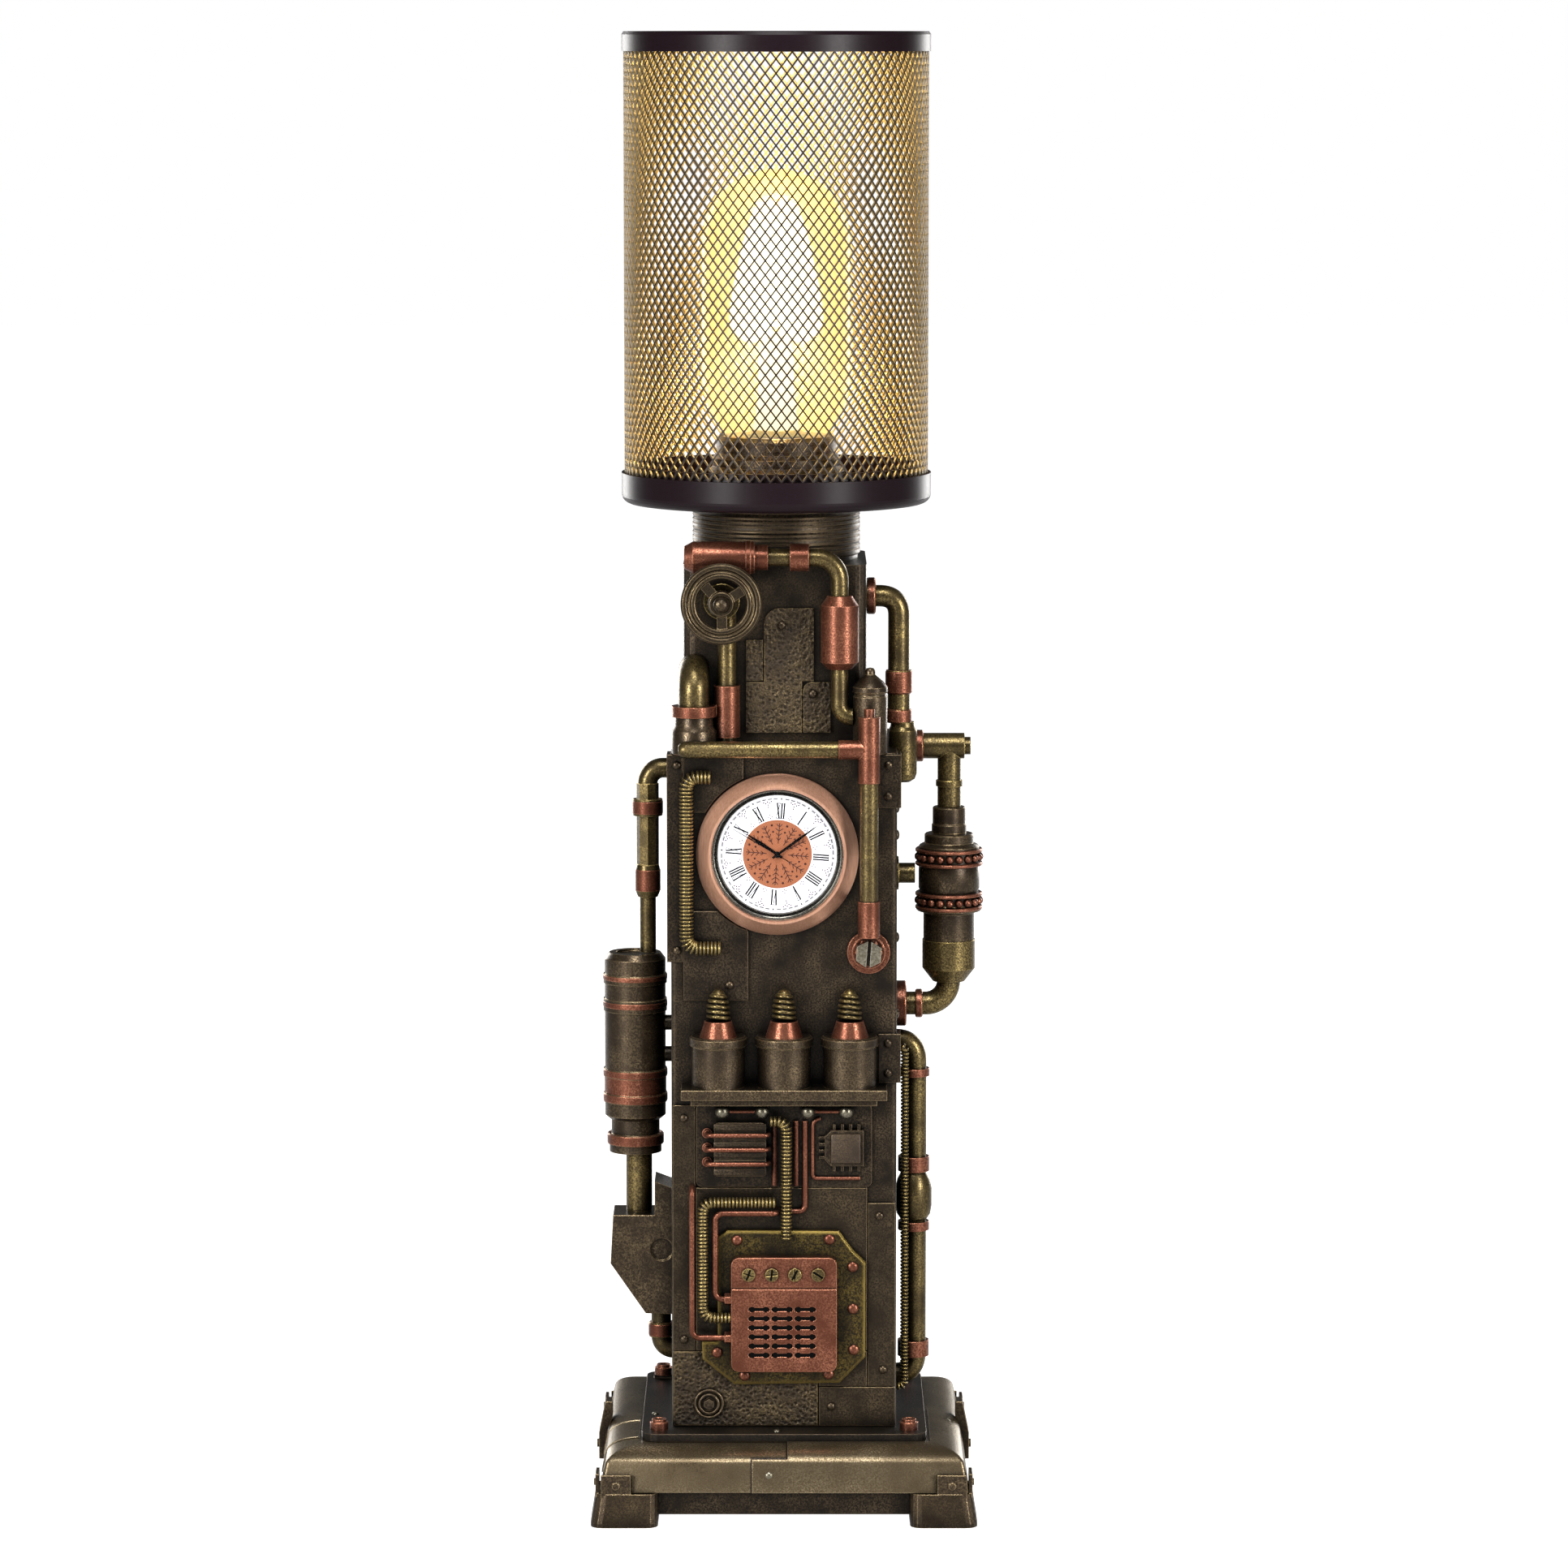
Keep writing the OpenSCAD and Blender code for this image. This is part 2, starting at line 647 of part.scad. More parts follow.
ball_xs = [-15.9, -5.6, 6.1, 16];
ball_z = panel_z + panel_h - 1.6;
ball_y = panel_face - ball_r - 0.2;
module terminal_balls() {
  color("#b9b2a6") for (x = ball_xs) {
    translate([x, ball_y, ball_z]) sphere(r = ball_r);
    stud(x, panel_face, ball_z, 1, 1);
  }
}

// Copper loop that stands off the panel and runs along X
module wire_loop(x0, x1, z, r, y) {
  turn = 1.4;
  union() {
    bar(x0 + turn, x1 - turn, y, z, r);
    translate([x0, y + turn, z]) rotate([90, 0, 0]) bend(r, turn);
    translate([x1, y + turn, z]) mirror([1, 0, 0]) rotate([90, 0, 0]) bend(r, turn);
    for (x = [x0, x1]) stud(x, panel_face, z, panel_face - y - turn, r);
  }
}

module panel_wires() {
  color("#b5713f") {
    for (i = [0, 2]) bar(ball_xs[i] + ball_r + fit, ball_xs[i + 1] - ball_r - fit, ball_y, ball_z, 0.5);
    for (i = [0:2]) union() {
      wire_loop(coil_x - coil_w / 2 - 1.9, coil_x + coil_w / 2 + 0.75, coil_z + 3.3 + i * 3.75, 0.6,
        panel_face - coil_d - 0.75);
      stud(coil_x - coil_w / 2 - 1.9, panel_face, coil_z + 3.3 + i * 3.75, 0.8, 1.3);
    }
  }
}

front_y = frame_face - 1.9;

// Small nut whose axis runs along X
module nut_x(x0, x1, z, r) {
  translate([x0, front_y, z]) rotate([0, 90, 0]) cylinder(r = r, h = x1 - x0, $fn = 6);
}

module panel_pipes() {
  box_edge = -box_w / 2 - 0.1;
  outer_x = -panel_w / 2 - 1;
  outer_z = box_z + 8.7;
  inner_x = box_edge - 4;
  inner_z = box_z + 18.8;
  top_z = panel_z - 6.2;
  color("#b5713f") {
    for (x = [-2.4, 3.1]) post(x, panel_face - 0.8, panel_z + 0.6, panel_z + 17.5, 0.75);
    // Pipe that drops below the panel and hooks behind the hose
    union() {
      post(5.4, panel_face - 0.8, top_z + 1.6, panel_z + 17.5, 0.75);
      translate([5.4, panel_face - 0.8, top_z + 1.6]) mirror([1, 0, 0]) mirror([0, 0, 1]) bend(0.75, 1.6);
      bar(hose_x, 3.8, panel_face - 0.8, top_z, 0.75);
    }
    // Pipe down the left edge to the grille box
    union() {
      post(outer_x, front_y, outer_z + 2, panel_z - 1.6, 0.8);
      translate([outer_x, front_y, outer_z + 2]) mirror([0, 0, 1]) bend(0.8, 2);
      bar(outer_x + 2, box_edge - 1, front_y, outer_z, 0.8);
      nut_x(box_edge - 1.6, box_edge, outer_z, 1.6);
      translate([outer_x, front_y, panel_z - 1.6]) rotate([0, 0, 90]) bend(0.8, 1.6);
      stud(outer_x, plate_face, panel_z, plate_face - front_y - 1.6, 0.8);
    }
    // Pipe inside it, from the centre to the grille box
    union() {
      post(inner_x, front_y, inner_z + 2, top_z - 2, 0.8);
      translate([inner_x, front_y, inner_z + 2]) mirror([0, 0, 1]) bend(0.8, 2);
      translate([inner_x, front_y, top_z - 2]) bend(0.8, 2);
      bar(inner_x + 2, box_edge, front_y, inner_z, 0.8);
      nut_x(box_edge - 1.6, box_edge, inner_z, 1.6);
      bar(inner_x + 2, -3.2, front_y, top_z, 0.8);
      translate([-1.6, front_y + 1.6, top_z]) mirror([1, 0, 0]) rotate([90, 0, 0]) bend(0.8, 1.6);
      stud(-1.6, plate_face, top_z, plate_face - front_y - 1.6, 0.8);
    }
    // Wire frame beside the chip
    union() {
      post(7.4, panel_face - 0.6, panel_z + 3.4, panel_z + 16, 0.5);
      translate([7.4, panel_face - 0.6, panel_z + 3.4]) mirror([0, 0, 1]) bend(0.5, 1);
      translate([7.4, panel_face - 0.6, panel_z + 16]) bend(0.5, 2);
      bar(8.4, 19.6, panel_face - 0.6, panel_z + 2.4, 0.5);
    }
  }
}

hose_x = 0.6;
side_hose_x = clock_x - bezel_r - 2 * gap - hose_r;
module spring_hoses() {
  left_x0 = -20.9;
  left_z = panel_z - 3.4;
  low_z = box_z + 13.9;
  flex_x = side + 2.5;
  flex_y = -bulge_r - 1.6;
  flex_r = 1.15;
  flex_low = plate_top + 7.6;
  flex_l = riser_top - 2.3 - flex_low;
  turn = 3;
  mid_foot = box_top + 6;
  mid_top = panel_z + 17.8;
  side_y = plate_face - gap - hose_r;
  side_low = clock_z - 20.7;
  side_l = 37.4;
  color("#b98a4a") {
    // Hose down the middle of the panel
    union() {
      translate([hose_x, front_y, mid_foot]) hose(thin_hose_r, mid_top - turn + 0.1 - mid_foot);
      post(hose_x, front_y, mid_foot - 1.4, mid_foot + 0.2, thin_hose_r + 0.35);
      translate([hose_x, front_y, mid_top - turn]) mirror([1, 0, 0]) bend(thin_hose_r, turn);
      bar(hose_x - turn - 0.8, hose_x - turn, front_y, mid_top, thin_hose_r);
    }
    // Hose round the left of the panel
    union() {
      translate([left_x0 + turn, front_y, left_z]) rotate([0, 90, 0]) hose(thin_hose_r, 15.5);
      translate([left_x0, front_y, left_z - turn]) bend(thin_hose_r, turn);
      translate([left_x0, front_y, low_z + turn]) hose(thin_hose_r, left_z - low_z - 2 * turn);
      translate([left_x0, front_y, low_z + turn]) mirror([0, 0, 1]) bend(thin_hose_r, turn);
      bar(left_x0 + turn, -box_w / 2 - 0.1, front_y, low_z, thin_hose_r);
      stud(-3, plate_face, left_z, plate_face - front_y, 1);
    }
    // Spring hose beside the clock
    union() {
      translate([side_hose_x, side_y, side_low]) hose(hose_r, side_l);
      translate([side_hose_x, side_y, side_low + side_l]) bend(hose_r, 3.4);
      translate([side_hose_x, side_y, side_low]) mirror([0, 0, 1]) bend(hose_r, 3.4);
      bar(side_hose_x + 3.4, side_hose_x + 5.4, side_y, side_low + side_l + 3.4, hose_r);
      bar(side_hose_x + 3.4, side_hose_x + 7.8, side_y, side_low - 3.4, hose_r);
      stud(side_hose_x + 4.6, plate_face, side_low + side_l + 3.4, 1.5, hose_r * 0.7);
      stud(side_hose_x + 6.6, plate_face, side_low - 3.4, 1.5, hose_r * 0.7);
    }
    // Thin hose down the right side
    union() {
      translate([flex_x, flex_y, flex_low]) hose(flex_r, flex_l);
      translate([flex_x, flex_y, flex_low + flex_l]) mirror([1, 0, 0]) bend(flex_r, 1.6);
      translate([flex_x, flex_y, flex_low]) mirror([1, 0, 0]) mirror([0, 0, 1]) bend(flex_r, 1.6);
      for (z = [flex_low - 1.6, flex_low + flex_l + 1.6]) bar(side, flex_x - 1.6, flex_y, z, flex_r);
    }
  }
}

module gasket_frame() {
  w = box_w / 2;
  top = box_top + frame_rise;
  color("#6a5c3a") front_plate([[w + 0.8, box_z - 3.6], [w + 7.4, box_z + 3.2], [w + 7.4, box_top - 1.8],
    [w + 4.2, box_top + 1.3], [w + 0.6, top - 0.2], [-w - 1, top], [-w - 3.5, top - 1.9],
    [-w - 3.5, box_z + 7.1], [-w - 7.6, box_z + 7.1], [-w - 7.4, box_z + 2.6], [-w + 0.7, box_z - 4]],
    plate_face, frame_t);
}

grille_z = box_top - 8;
module grille_box() {
  mid = box_z + box_h / 2;
  color("#b5713f") difference() {
    front_plate([for (p = rrect(box_w / 2, box_h / 2, 2)) p + [0, mid]], frame_face, box_d);
    translate([-box_w / 2 - 1, box_face - 0.5, grille_z - 0.3]) cube([box_w + 2, 1, 0.6]);
    for (i = [-1:1], j = [0:5]) translate([i * 5.95 - 0.5, box_face - 1, box_z + 4.4 + j * 2.4]) {
      translate([-slot_w / 2, 0, -slot_h / 2 + 0.15]) cube([slot_w, 2.2, slot_h - 0.3]);
      for (x = [-slot_w / 2, slot_w / 2]) translate([x, 2.2, 0]) rotate([90, 0, 0])
        cylinder(r = slot_h / 2, h = 3, $fn = 24);
    }
  }
}

module box_screws() {
  turns = [-20, 5, 90, -30];
  color("#c9a25c") for (i = [0:3]) translate([-9.15 + i * 5.97, box_face, grille_z + 3.7]) rotate([90, 0, 0])
    difference() {
      cylinder(r = screw_r, h = 0.9);
      rotate([0, 0, turns[i]]) translate([-screw_r - 1, -0.25, 0.4]) cube([2 * screw_r + 2, 0.5, 1]);
    }
}

right_pipe_x = side - 7.3;
module clock_pipes() {
  color("#c9a25c") {
    translate([elbow_x - 4, pipe_y, cross_z]) rotate([0, 90, 0]) rotate_extrude() polygon([[0, 0], [0.9, 0.15],
      [1.5, 0.7], [1.9, 1.8], [1.9, right_pipe_x - 7.8 - fit - elbow_x + 4],
      [0, right_pipe_x - 7.8 - fit - elbow_x + 4]]);
    post(right_pipe_x, pipe_y, clock_z - 11.4 + fit, clock_z + 19.1 - fit, pipe_r);
  }
}

module pipe_fittings() {
  foot = clock_z - 20.6;
  tee_foot = clock_z + 19.1;
  boss_z = clock_z - 25.4;
  color("#b5713f") {
    // Tee with its nut
    union() {
      post(right_pipe_x, pipe_y, tee_foot, cross_z + 8.4, tee_r);
      bar(right_pipe_x - 7.8, right_pipe_x, pipe_y, cross_z, 2.5);
      post(right_pipe_x, pipe_y, cross_z + 8, cross_z + 10.5, 1.4);
      stud(right_pipe_x, face, tee_foot + 2.5, face - pipe_y, 1.5);
    }
    // Sleeve at the foot of the pipe
    union() {
      post(right_pipe_x, pipe_y, foot, foot + 9.2, 2.85);
      stud(right_pipe_x, face, foot + 4.5, face - pipe_y, 1.5);
    }
    // Washer with its slotted hexagon bolt
    difference() {
      union() {
        stud(right_pipe_x, face, boss_z, 1.6, 5.5);
        stud(right_pipe_x, face, boss_z, 2.1, 4.2);
        translate([right_pipe_x, face, boss_z]) rotate([90, 0, 0]) cylinder(r = 3.4, h = 4.4, $fn = 6);
      }
      translate([right_pipe_x - 5, face - 5, boss_z - 0.35]) cube([10, 1.4, 0.7]);
    }
  }
}

tank_low = run_z - 9.8 - tank_l;
module upper_elbows() {
  flange_top = tower_top + 12.3;
  drop_turn = side - 7 - upper_can_r - tank_x - fit;
  color("#c9a25c") {
    // Large elbow that turns into the upper body
    union() {
      post(elbow_x, elbow_y, flange_top + fit, flange_top + 3, elbow_r);
      translate([elbow_x, elbow_y, flange_top + 3]) rotate([0, 0, 90]) bend(elbow_r, upper_face - elbow_y);
    }
    // Riser, bonnet and nose of the handwheel's valve
    difference() {
      union() {
        post(riser_x, riser_y, tower_top + 17.3 + fit, wheel_z, 2.4);
        stud(wheel_x, upper_face, wheel_z, 6.2, 4.6);
        stud(wheel_x, upper_face, wheel_z, 9, 2.7);
      }
      stud(wheel_x, upper_face - 2, wheel_z, 9, spindle_r + fit);
    }
    post(riser_x, riser_y, tower_top, tower_top + 4.1 - fit, 2.4);
    // Run along the neck with its turn down to the hanging cylinder
    bar(neck_x - 2.1 + fit, neck_x + 3.5 - fit, run_y, run_z, 2.3);
    union() {
      bar(neck_x + 8.3 + fit, tank_x - 6, run_y, run_z, 2.3);
      translate([tank_x, run_y, run_z - 6]) mirror([1, 0, 0]) bend(2.3, 6);
      post(tank_x, run_y, run_z - 9.8 + fit, run_z - 6, 2.3);
    }
    // Pipe from the hanging cylinder to the small canister
    union() {
      post(tank_x, run_y, cross_z + 7.6 + drop_turn, tank_low - fit, 2.25);
      translate([tank_x, run_y, cross_z + 7.6 + drop_turn]) mirror([0, 0, 1]) bend(2.25, drop_turn);
    }
  }
}

module upper_fittings() {
  drum_end = neck_x - 5.5;
  color("#b5713f") {
    // Coupling and flange below the large elbow
    difference() {
      union() {
        translate([elbow_x, elbow_y, tower_top]) rotate_extrude() polygon([[0, 0], [5.5, 0], [5.6, 5.6],
          [5.3, 6.4], [4.85, 7.4], [4.75, 9.6], [0, 9.6]]);
        post(elbow_x, elbow_y, tower_top + 9.6, tower_top + 12.3, 5.7);
      }
      bar(elbow_x - 8, elbow_x + 8, pipe_y, cross_z, 1.9 + fit);
    }
    band(riser_x, riser_y, tower_top + 4.1, tower_top + 17.3, 3.4, 0.8);
    // Horizontal cylinder with its rings
    union() {
      translate([drum_end - drum_l, run_y, run_z]) rotate([0, 90, 0]) rotate_extrude() polygon([[0, 0],
        [drum_r - 1.2, 0], [drum_r, 2.2], [drum_r, drum_l], [0, drum_l]]);
      bar(drum_end - 2.2, drum_end - 1, run_y, run_z, drum_r + 0.25);
      bar(drum_end, drum_end + 3.4, run_y, run_z, 3.25);
    }
    bar(neck_x + 3.5, neck_x + 8.3, run_y, run_z, 3.55);
  }
}

module hanging_cylinder() {
  color("#b5713f") translate([tank_x, run_y, tank_low]) rotate_extrude() polygon([[0, 0], [tank_r - 1.6, 0],
    [tank_r, 1.8], [tank_r, tank_l - 2.4], [tank_r - 1.2, tank_l - 0.8], [tank_r - 1.6, tank_l], [0, tank_l]]);
}

module upper_canister() {
  x = side - 7;
  y = face + 0.5;
  color("#7a6236") translate([x, y, tower_top]) rotate_extrude() polygon([[0, 0], [upper_can_r, 0],
    [upper_can_r, 13.8], [upper_can_r - 0.3, 14], [upper_can_r - 0.3, 15.2], [upper_can_r - 0.8, 15.6],
    [1.4, 20.3], [1, 22], [0, 22.1]]);
}

module upper_right_pipes() {
  x = side + 0.6;
  y = -12;
  wall = upper_x + upper_w / 2;
  top = wheel_z;
  turn = 4.6;
  can_x = side + 1.6;
  color("#c9a25c") {
    union() {
      bar(wall, wall + 2.2, y, top, 4.6);
      bar(wall, x - turn, y, top, 2.35);
      translate([x, y, top - turn]) mirror([1, 0, 0]) bend(2.35, turn);
      post(x, y, tower_top + 13, top - turn, 2.35);
      post(x, y, tower_top + 15.7, tower_top + 19.8, 3.35);
      post(x, y, tower_top + 9, tower_top + 15, 2.9);
      post(x, y, tower_top + 6.4, tower_top + 9.6, 3.25);
    }
  }
  color("#5f5138") difference() {
    translate([can_x, y, tower_top - 9.2]) rotate_extrude() polygon([[0, 0], [2, 0], [3.2, 0.8], [3.7, 2.2],
      [3.7, 13.4], [3.2, 14.4], [3, 15.6], [0, 15.6]]);
    translate([side - 10, y - 6, tower_top - 12]) cube([10, 12, 12]);
  }
}

module valve_arm() {
  color("#c9a25c") union() {
    bar(side, valve_x + 3.9, 0, valve_z, 3.35);
    bar(side + 4.8, side + 7.1, 0, valve_z, 4);
    bar(valve_x + 3.9, valve_x + 5.5, 0, valve_z, 2.3);
    post(valve_x, 0, valve_z - 15.9 + fit, valve_z, 3.05);
    post(valve_x, 0, valve_z - 10.5, valve_z - 9, 3.5);
  }
}

module valve_body() {
  top = valve_z - 15.9;
  color("#c9a25c") translate([valve_x, 0, 0]) union() {
    translate([0, 0, top]) mirror([0, 0, 1]) rotate_extrude($fn = 64) polygon([[0, 0], [4.3, 0], [4.3, 6.8],
      [6.4, 6.8], [6.4, 9.7], [bead_ring_r, 10.4], [bead_ring_r, 12.2], [bead_ring_r - 1.1, 12.2],
      [bead_ring_r - 1.1, 13.8], [bead_ring_r, 13.8], [bead_ring_r, 16], [valve_r, 16], [valve_r, 21.8],
      [bead_ring_r, 21.8], [bead_ring_r, 23.6], [bead_ring_r - 1.1, 23.6], [bead_ring_r - 1.1, 25.6],
      [bead_ring_r - 0.3, 25.6], [bead_ring_r - 0.3, 27.3], [6.65, 27.3], [6.65, 34.9 - fit], [0, 34.9 - fit]]);
    for (z = [top - 13, top - 24.6], i = [0:beads - 1]) rotate([0, 0, (i + 0.5) * 360 / beads])
      translate([bead_ring_r - 0.9, 0, z]) sphere(r = bead_r, $fn = 20);
  }
}

module valve_elbow() {
  top = valve_z - 50.8;
  axis_z = valve_foot;
  turn = 6;
  pipe_z = valve_z - 33.4;
  color("#c9a25c") {
    union() {
      translate([valve_x, 0, top]) mirror([0, 0, 1]) rotate_extrude() polygon([[0, 0], [6.9, 0], [6.9, 7.5],
        [4.2, 11], [0, 11]]);
      translate([valve_x, 0, axis_z + turn]) mirror([1, 0, 0]) mirror([0, 0, 1]) bend(3.05, turn);
      bar(side, valve_x - turn, 0, axis_z, 3.05);
      bar(side + 5.4, side + 7.1, 0, axis_z, 3.6);
      bar(side, side + 2.8, 0, axis_z, 5.8);
    }
    union() {
      bar(side, valve_x - bead_ring_r - fit, 0, pipe_z, 2.65);
      bar(side, side + 0.9, 0, pipe_z, 4.4);
    }
  }
}

module right_riser() {
  top = riser_top;
  low = plate_top + 7.7;
  turn = right_x - side;
  color("#8a6a3c") union() {
    translate([right_x, 0, top - turn]) mirror([1, 0, 0]) bend(riser_r, turn);
    post(right_x, 0, low + turn, top - turn, riser_r);
    translate([right_x, 0, low + turn]) mirror([1, 0, 0]) mirror([0, 0, 1]) bend(riser_r, turn);
    translate([right_x, 0, plate_top + 48.8]) rotate_extrude() polygon([[0, 0], [bulge_r - 1.6, 0],
      [bulge_r, 3], [bulge_r, 9], [bulge_r - 1.6, 13.2], [0, 13.2]]);
  }
}

module riser_rings() {
  z = plate_top;
  rings = [[z + 12.7, z + 16.9], [z + 46.4, z + 48.7], [z + 62.1, z + 66], [riser_top - 9.5, riser_top - 7.5]];
  color("#b5713f") for (r = rings) band(right_x, 0, r[0], r[1], riser_ring_r, riser_r + fit);
}

cyl_top = shelf_z + 30.3;
module left_pipe() {
  top = valve_z - 5.8;
  turn = 4;
  color("#b98a4a") union() {
    bar(left_x + turn, -side, 0, top, 2.6);
    translate([left_x, 0, top - turn]) bend(2.6, turn);
    translate([left_x, 0, cyl_top + 23]) cylinder(r = oct_r, h = top - turn - cyl_top - 23, $fn = 8);
    post(left_x, 0, cyl_top + 36, cyl_top + 40.3, 3.9);
    translate([left_x, 0, cyl_top + 14.6]) rotate_extrude() polygon([[0, 0], [2.6, 0], [3.2, 1.5], [3.2, 7.2],
      [2.9, 8.5], [0, 8.5]]);
    post(left_x, 0, cyl_top + fit, cyl_top + 14.7, 2.1);
  }
}

module left_cylinder() {
  r = side_tank_r;
  l = side_tank_l;
  top = cyl_top;
  color("#6a5638") union() {
    translate([tank_side_x, 0, top]) mirror([0, 0, 1]) rotate_extrude($fn = 64) polygon([[0, 0.6], [r - 3, 0.6],
      [r - 3, 0], [r - 1.2, 0], [r, 1.6], [r, 5.6], [r + 0.35, 5.6], [r + 0.35, 8], [r, 8], [r, 12.1],
      [r + 0.35, 12.1], [r + 0.35, 15.3], [r, 15.3], [r, 30.6], [r + 0.35, 30.6], [r + 0.35, 32.7], [r, 32.7],
      [r, 37], [r + 0.35, 37], [r + 0.35, 39.4], [r, 39.4], [r, 42.9], [r - 1.2, l], [0, l]]);
    translate([tank_side_x, 0, top - l]) mirror([0, 0, 1]) rotate_extrude() polygon([[0, -1], [6.3, -1], [6.3, 4],
      [7.3, 4], [7.3, 6.7], [6.8, 6.7], [6.8, 8.8], [0, 8.8]]);
    post(tank_side_x + 0.9, 0, ledge_z, top - l - 8, 3.35);
    for (z = [top - 18.7, top - 27]) bar(tank_side_x + 1, -side, 0, z, 2);
  }
}

module bracket_block() {
  s = side;
  z = plate_top;
  color("#5f4c33") difference() {
    translate([0, 7, 0]) rotate([90, 0, 0]) linear_extrude(14) polygon([[-s, z + 58.6], [-s - 4.8, z + 60.4],
      [-s - 4.8, ledge_z], [-s - 15.7, ledge_z], [-s - 16.4, z + 38.6], [-s - 7.2, z + 25.3], [-s, z + 25.1]]);
    translate([-s - 3, -6, z + 42.3]) rotate([90, 0, 0]) cylinder(r = 3, h = 2);
  }
}

module left_drain() {
  x = -side - 3.3;
  turn = 3.3;
  color("#b98a4a") union() {
    post(x, 0, plate_top + 17.8, plate_top + 25.1, 2.6);
    post(x, 0, plate_top + 17.8, plate_top + 21.6, 3.2);
    translate([x, 0, plate_top + 17.8]) mirror([0, 0, 1]) bend(2.6, turn);
  }
}

module shade_pan() {
  f = 2.5;
  r = pan_r;
  color("#2a1f26") translate([neck_x, 0, neck_top]) rotate_extrude($fn = 128) polygon(concat(
    [[wire_r + 3, 0], [r - f, 0]], [for (a = [15:15:75]) [r - f + f * sin(a), f - f * cos(a)]],
    [[r, f], [r, pan_h], [r - pan_wall, pan_h], [r - pan_wall, floor_t + 1], [r - pan_wall - 1, floor_t],
    [wire_r + 3, floor_t]]));
}

module socket_plinth() {
  w = plinth_w / 2;
  color("#5a4a2c") translate([neck_x, 0, neck_top + floor_t]) rotate_extrude($fn = 64) polygon([[9.1, 0],
    [w + 3.2, 0], [w + 3.2, 3.2], [w + 2.1, 4.4], [w + 2.1, 6.6], [w + 1, 7.8], [w + 1, 10], [w, 11.2],
    [w, plinth_h - 1], [w - 1, plinth_h], [9.1, plinth_h]]);
}

module lamp_holder() {
  color("#2b2b2b") translate([neck_x, 0, neck_top + floor_t]) difference() {
    cylinder(r = 9, h = plinth_h - 0.6);
    translate([0, 0, 1.6]) cylinder(r = cap_r + gap, h = plinth_h);
    translate([3.5, 0, -1]) cylinder(r = 1, h = 4);
  }
}

// One upright strip of the mesh: a lattice of diamonds that meets the next strip edge to edge
module mesh_strip() {
  w = mesh_r * sin(180 / mesh_cols);
  h = mesh_h / mesh_rows;
  slope = h / 2 / w;
  cx = strand_w / 2 * sqrt(1 + 1 / pow(slope, 2)) ;
  cz = strand_w / 2 * sqrt(1 + pow(slope, 2));
  lap = 0.04;
  e = w + lap;
  left = [for (j = [1:mesh_rows - 1]) each [[-e, j * h - h / 2 + cz], [-cx, j * h], [-e, j * h + h / 2 - cz]]];
  right = [for (j = [mesh_rows - 1:-1:1]) each [[e, j * h + h / 2 - cz], [cx, j * h], [e, j * h - h / 2 + cz]]];
  outer = concat([[-e, 0]], left, [[-e, mesh_h], [e, mesh_h]], right, [[e, 0]]);
  n = len(outer);
  holes = [for (j = [0:mesh_rows - 1]) let (z = (j + 0.5) * h)
    each [[cx - w, z], [0, z - h / 2 + cz], [w - cx, z], [0, z + h / 2 - cz]]];
  linear_extrude(mesh_t) polygon(concat(outer, holes),
    paths = concat([[for (i = [0:n - 1]) i]], [for (j = [0:mesh_rows - 1]) [for (k = [0:3]) n + 4 * j + k]]));
}

module shade_mesh() {
  color("#c8a24a") translate([neck_x, 0, mesh_foot]) for (i = [0:mesh_cols - 1]) rotate([0, 0, i * 360 / mesh_cols])
    translate([0, -mesh_r * cos(180 / mesh_cols) + mesh_t, 0]) rotate([90, 0, 0]) mesh_strip();
}

module shade_rim() {
  r = mesh_r + 0.3;
  inner = mesh_r - 1.6;
  color("#2a1f26") translate([neck_x, 0, 0]) {
    translate([0, 0, mesh_top]) rotate_extrude($fn = 128) polygon([[inner, 0], [r, 0], [r, rim_h - 0.8],
      [r - 0.5, rim_h], [inner + 0.4, rim_h], [inner, rim_h - 0.6]]);
    translate([0, 0, pan_top - 4.6]) rotate_extrude($fn = 128) polygon([[inner - 0.8, 0], [inner, 0],
      [inner, 6.6], [inner - 0.8, 6.6]]);
  }
}

// Outline of the bulb: a ball whose lower half narrows to the neck
function bulb_outline(r, top, neck, foot) = let (mid = top - r) concat(
  [for (i = [0:11]) [neck + (r - neck) * pow(0.5 - 0.5 * cos(180 * i / 12), 0.85), foot + (mid - foot) * i / 12]],
  [for (a = [0:10:80]) [r * cos(a), mid + r * sin(a)]], [[0, top]]);

module bulb_glass() {
  outer = bulb_outline(bulb_r, glass_h, 8.2, 0.4);
  inner = bulb_outline(bulb_r - glass_t, glass_h - glass_t, 8.2 - glass_t, 0.4);
  color("#e0a24a", 0.5) translate([neck_x, 0, plinth_top]) rotate_extrude($fn = 64)
    polygon(concat(outer, [for (i = [len(inner) - 1:-1:0]) inner[i]]));
}

module bulb_stem() {
  color("#f2d9a0") translate([neck_x, 0, plinth_top + 1.6]) {
    rotate_extrude() polygon([[0, 0], [6, 0], [5.6, 4], [3.4, 16], [2.6, 24], [1, 25], [0, 25]]);
    for (k = [-1, 1]) translate([k * 1.2, 0, 24]) rotate([0, k * 13, 0]) cylinder(r = 0.9, h = 31);
  }
}

module bulb_cap() {
  foot = 3.2;
  top = plinth_h + 1.5;
  color("#c0c0c0") translate([neck_x, 0, neck_top + floor_t]) rotate_extrude() polygon([[0, foot], [2.2, foot],
    [3, foot + 0.8], [cap_r - 0.6, foot + 2.2], [cap_r, foot + 3], [cap_r, top], [0, top]]);
}

clock_y = face - gap;
dial_t = 0.8;
dial_face = clock_y - dial_t;
arbor_r = 0.5;
hand_t = 0.3;

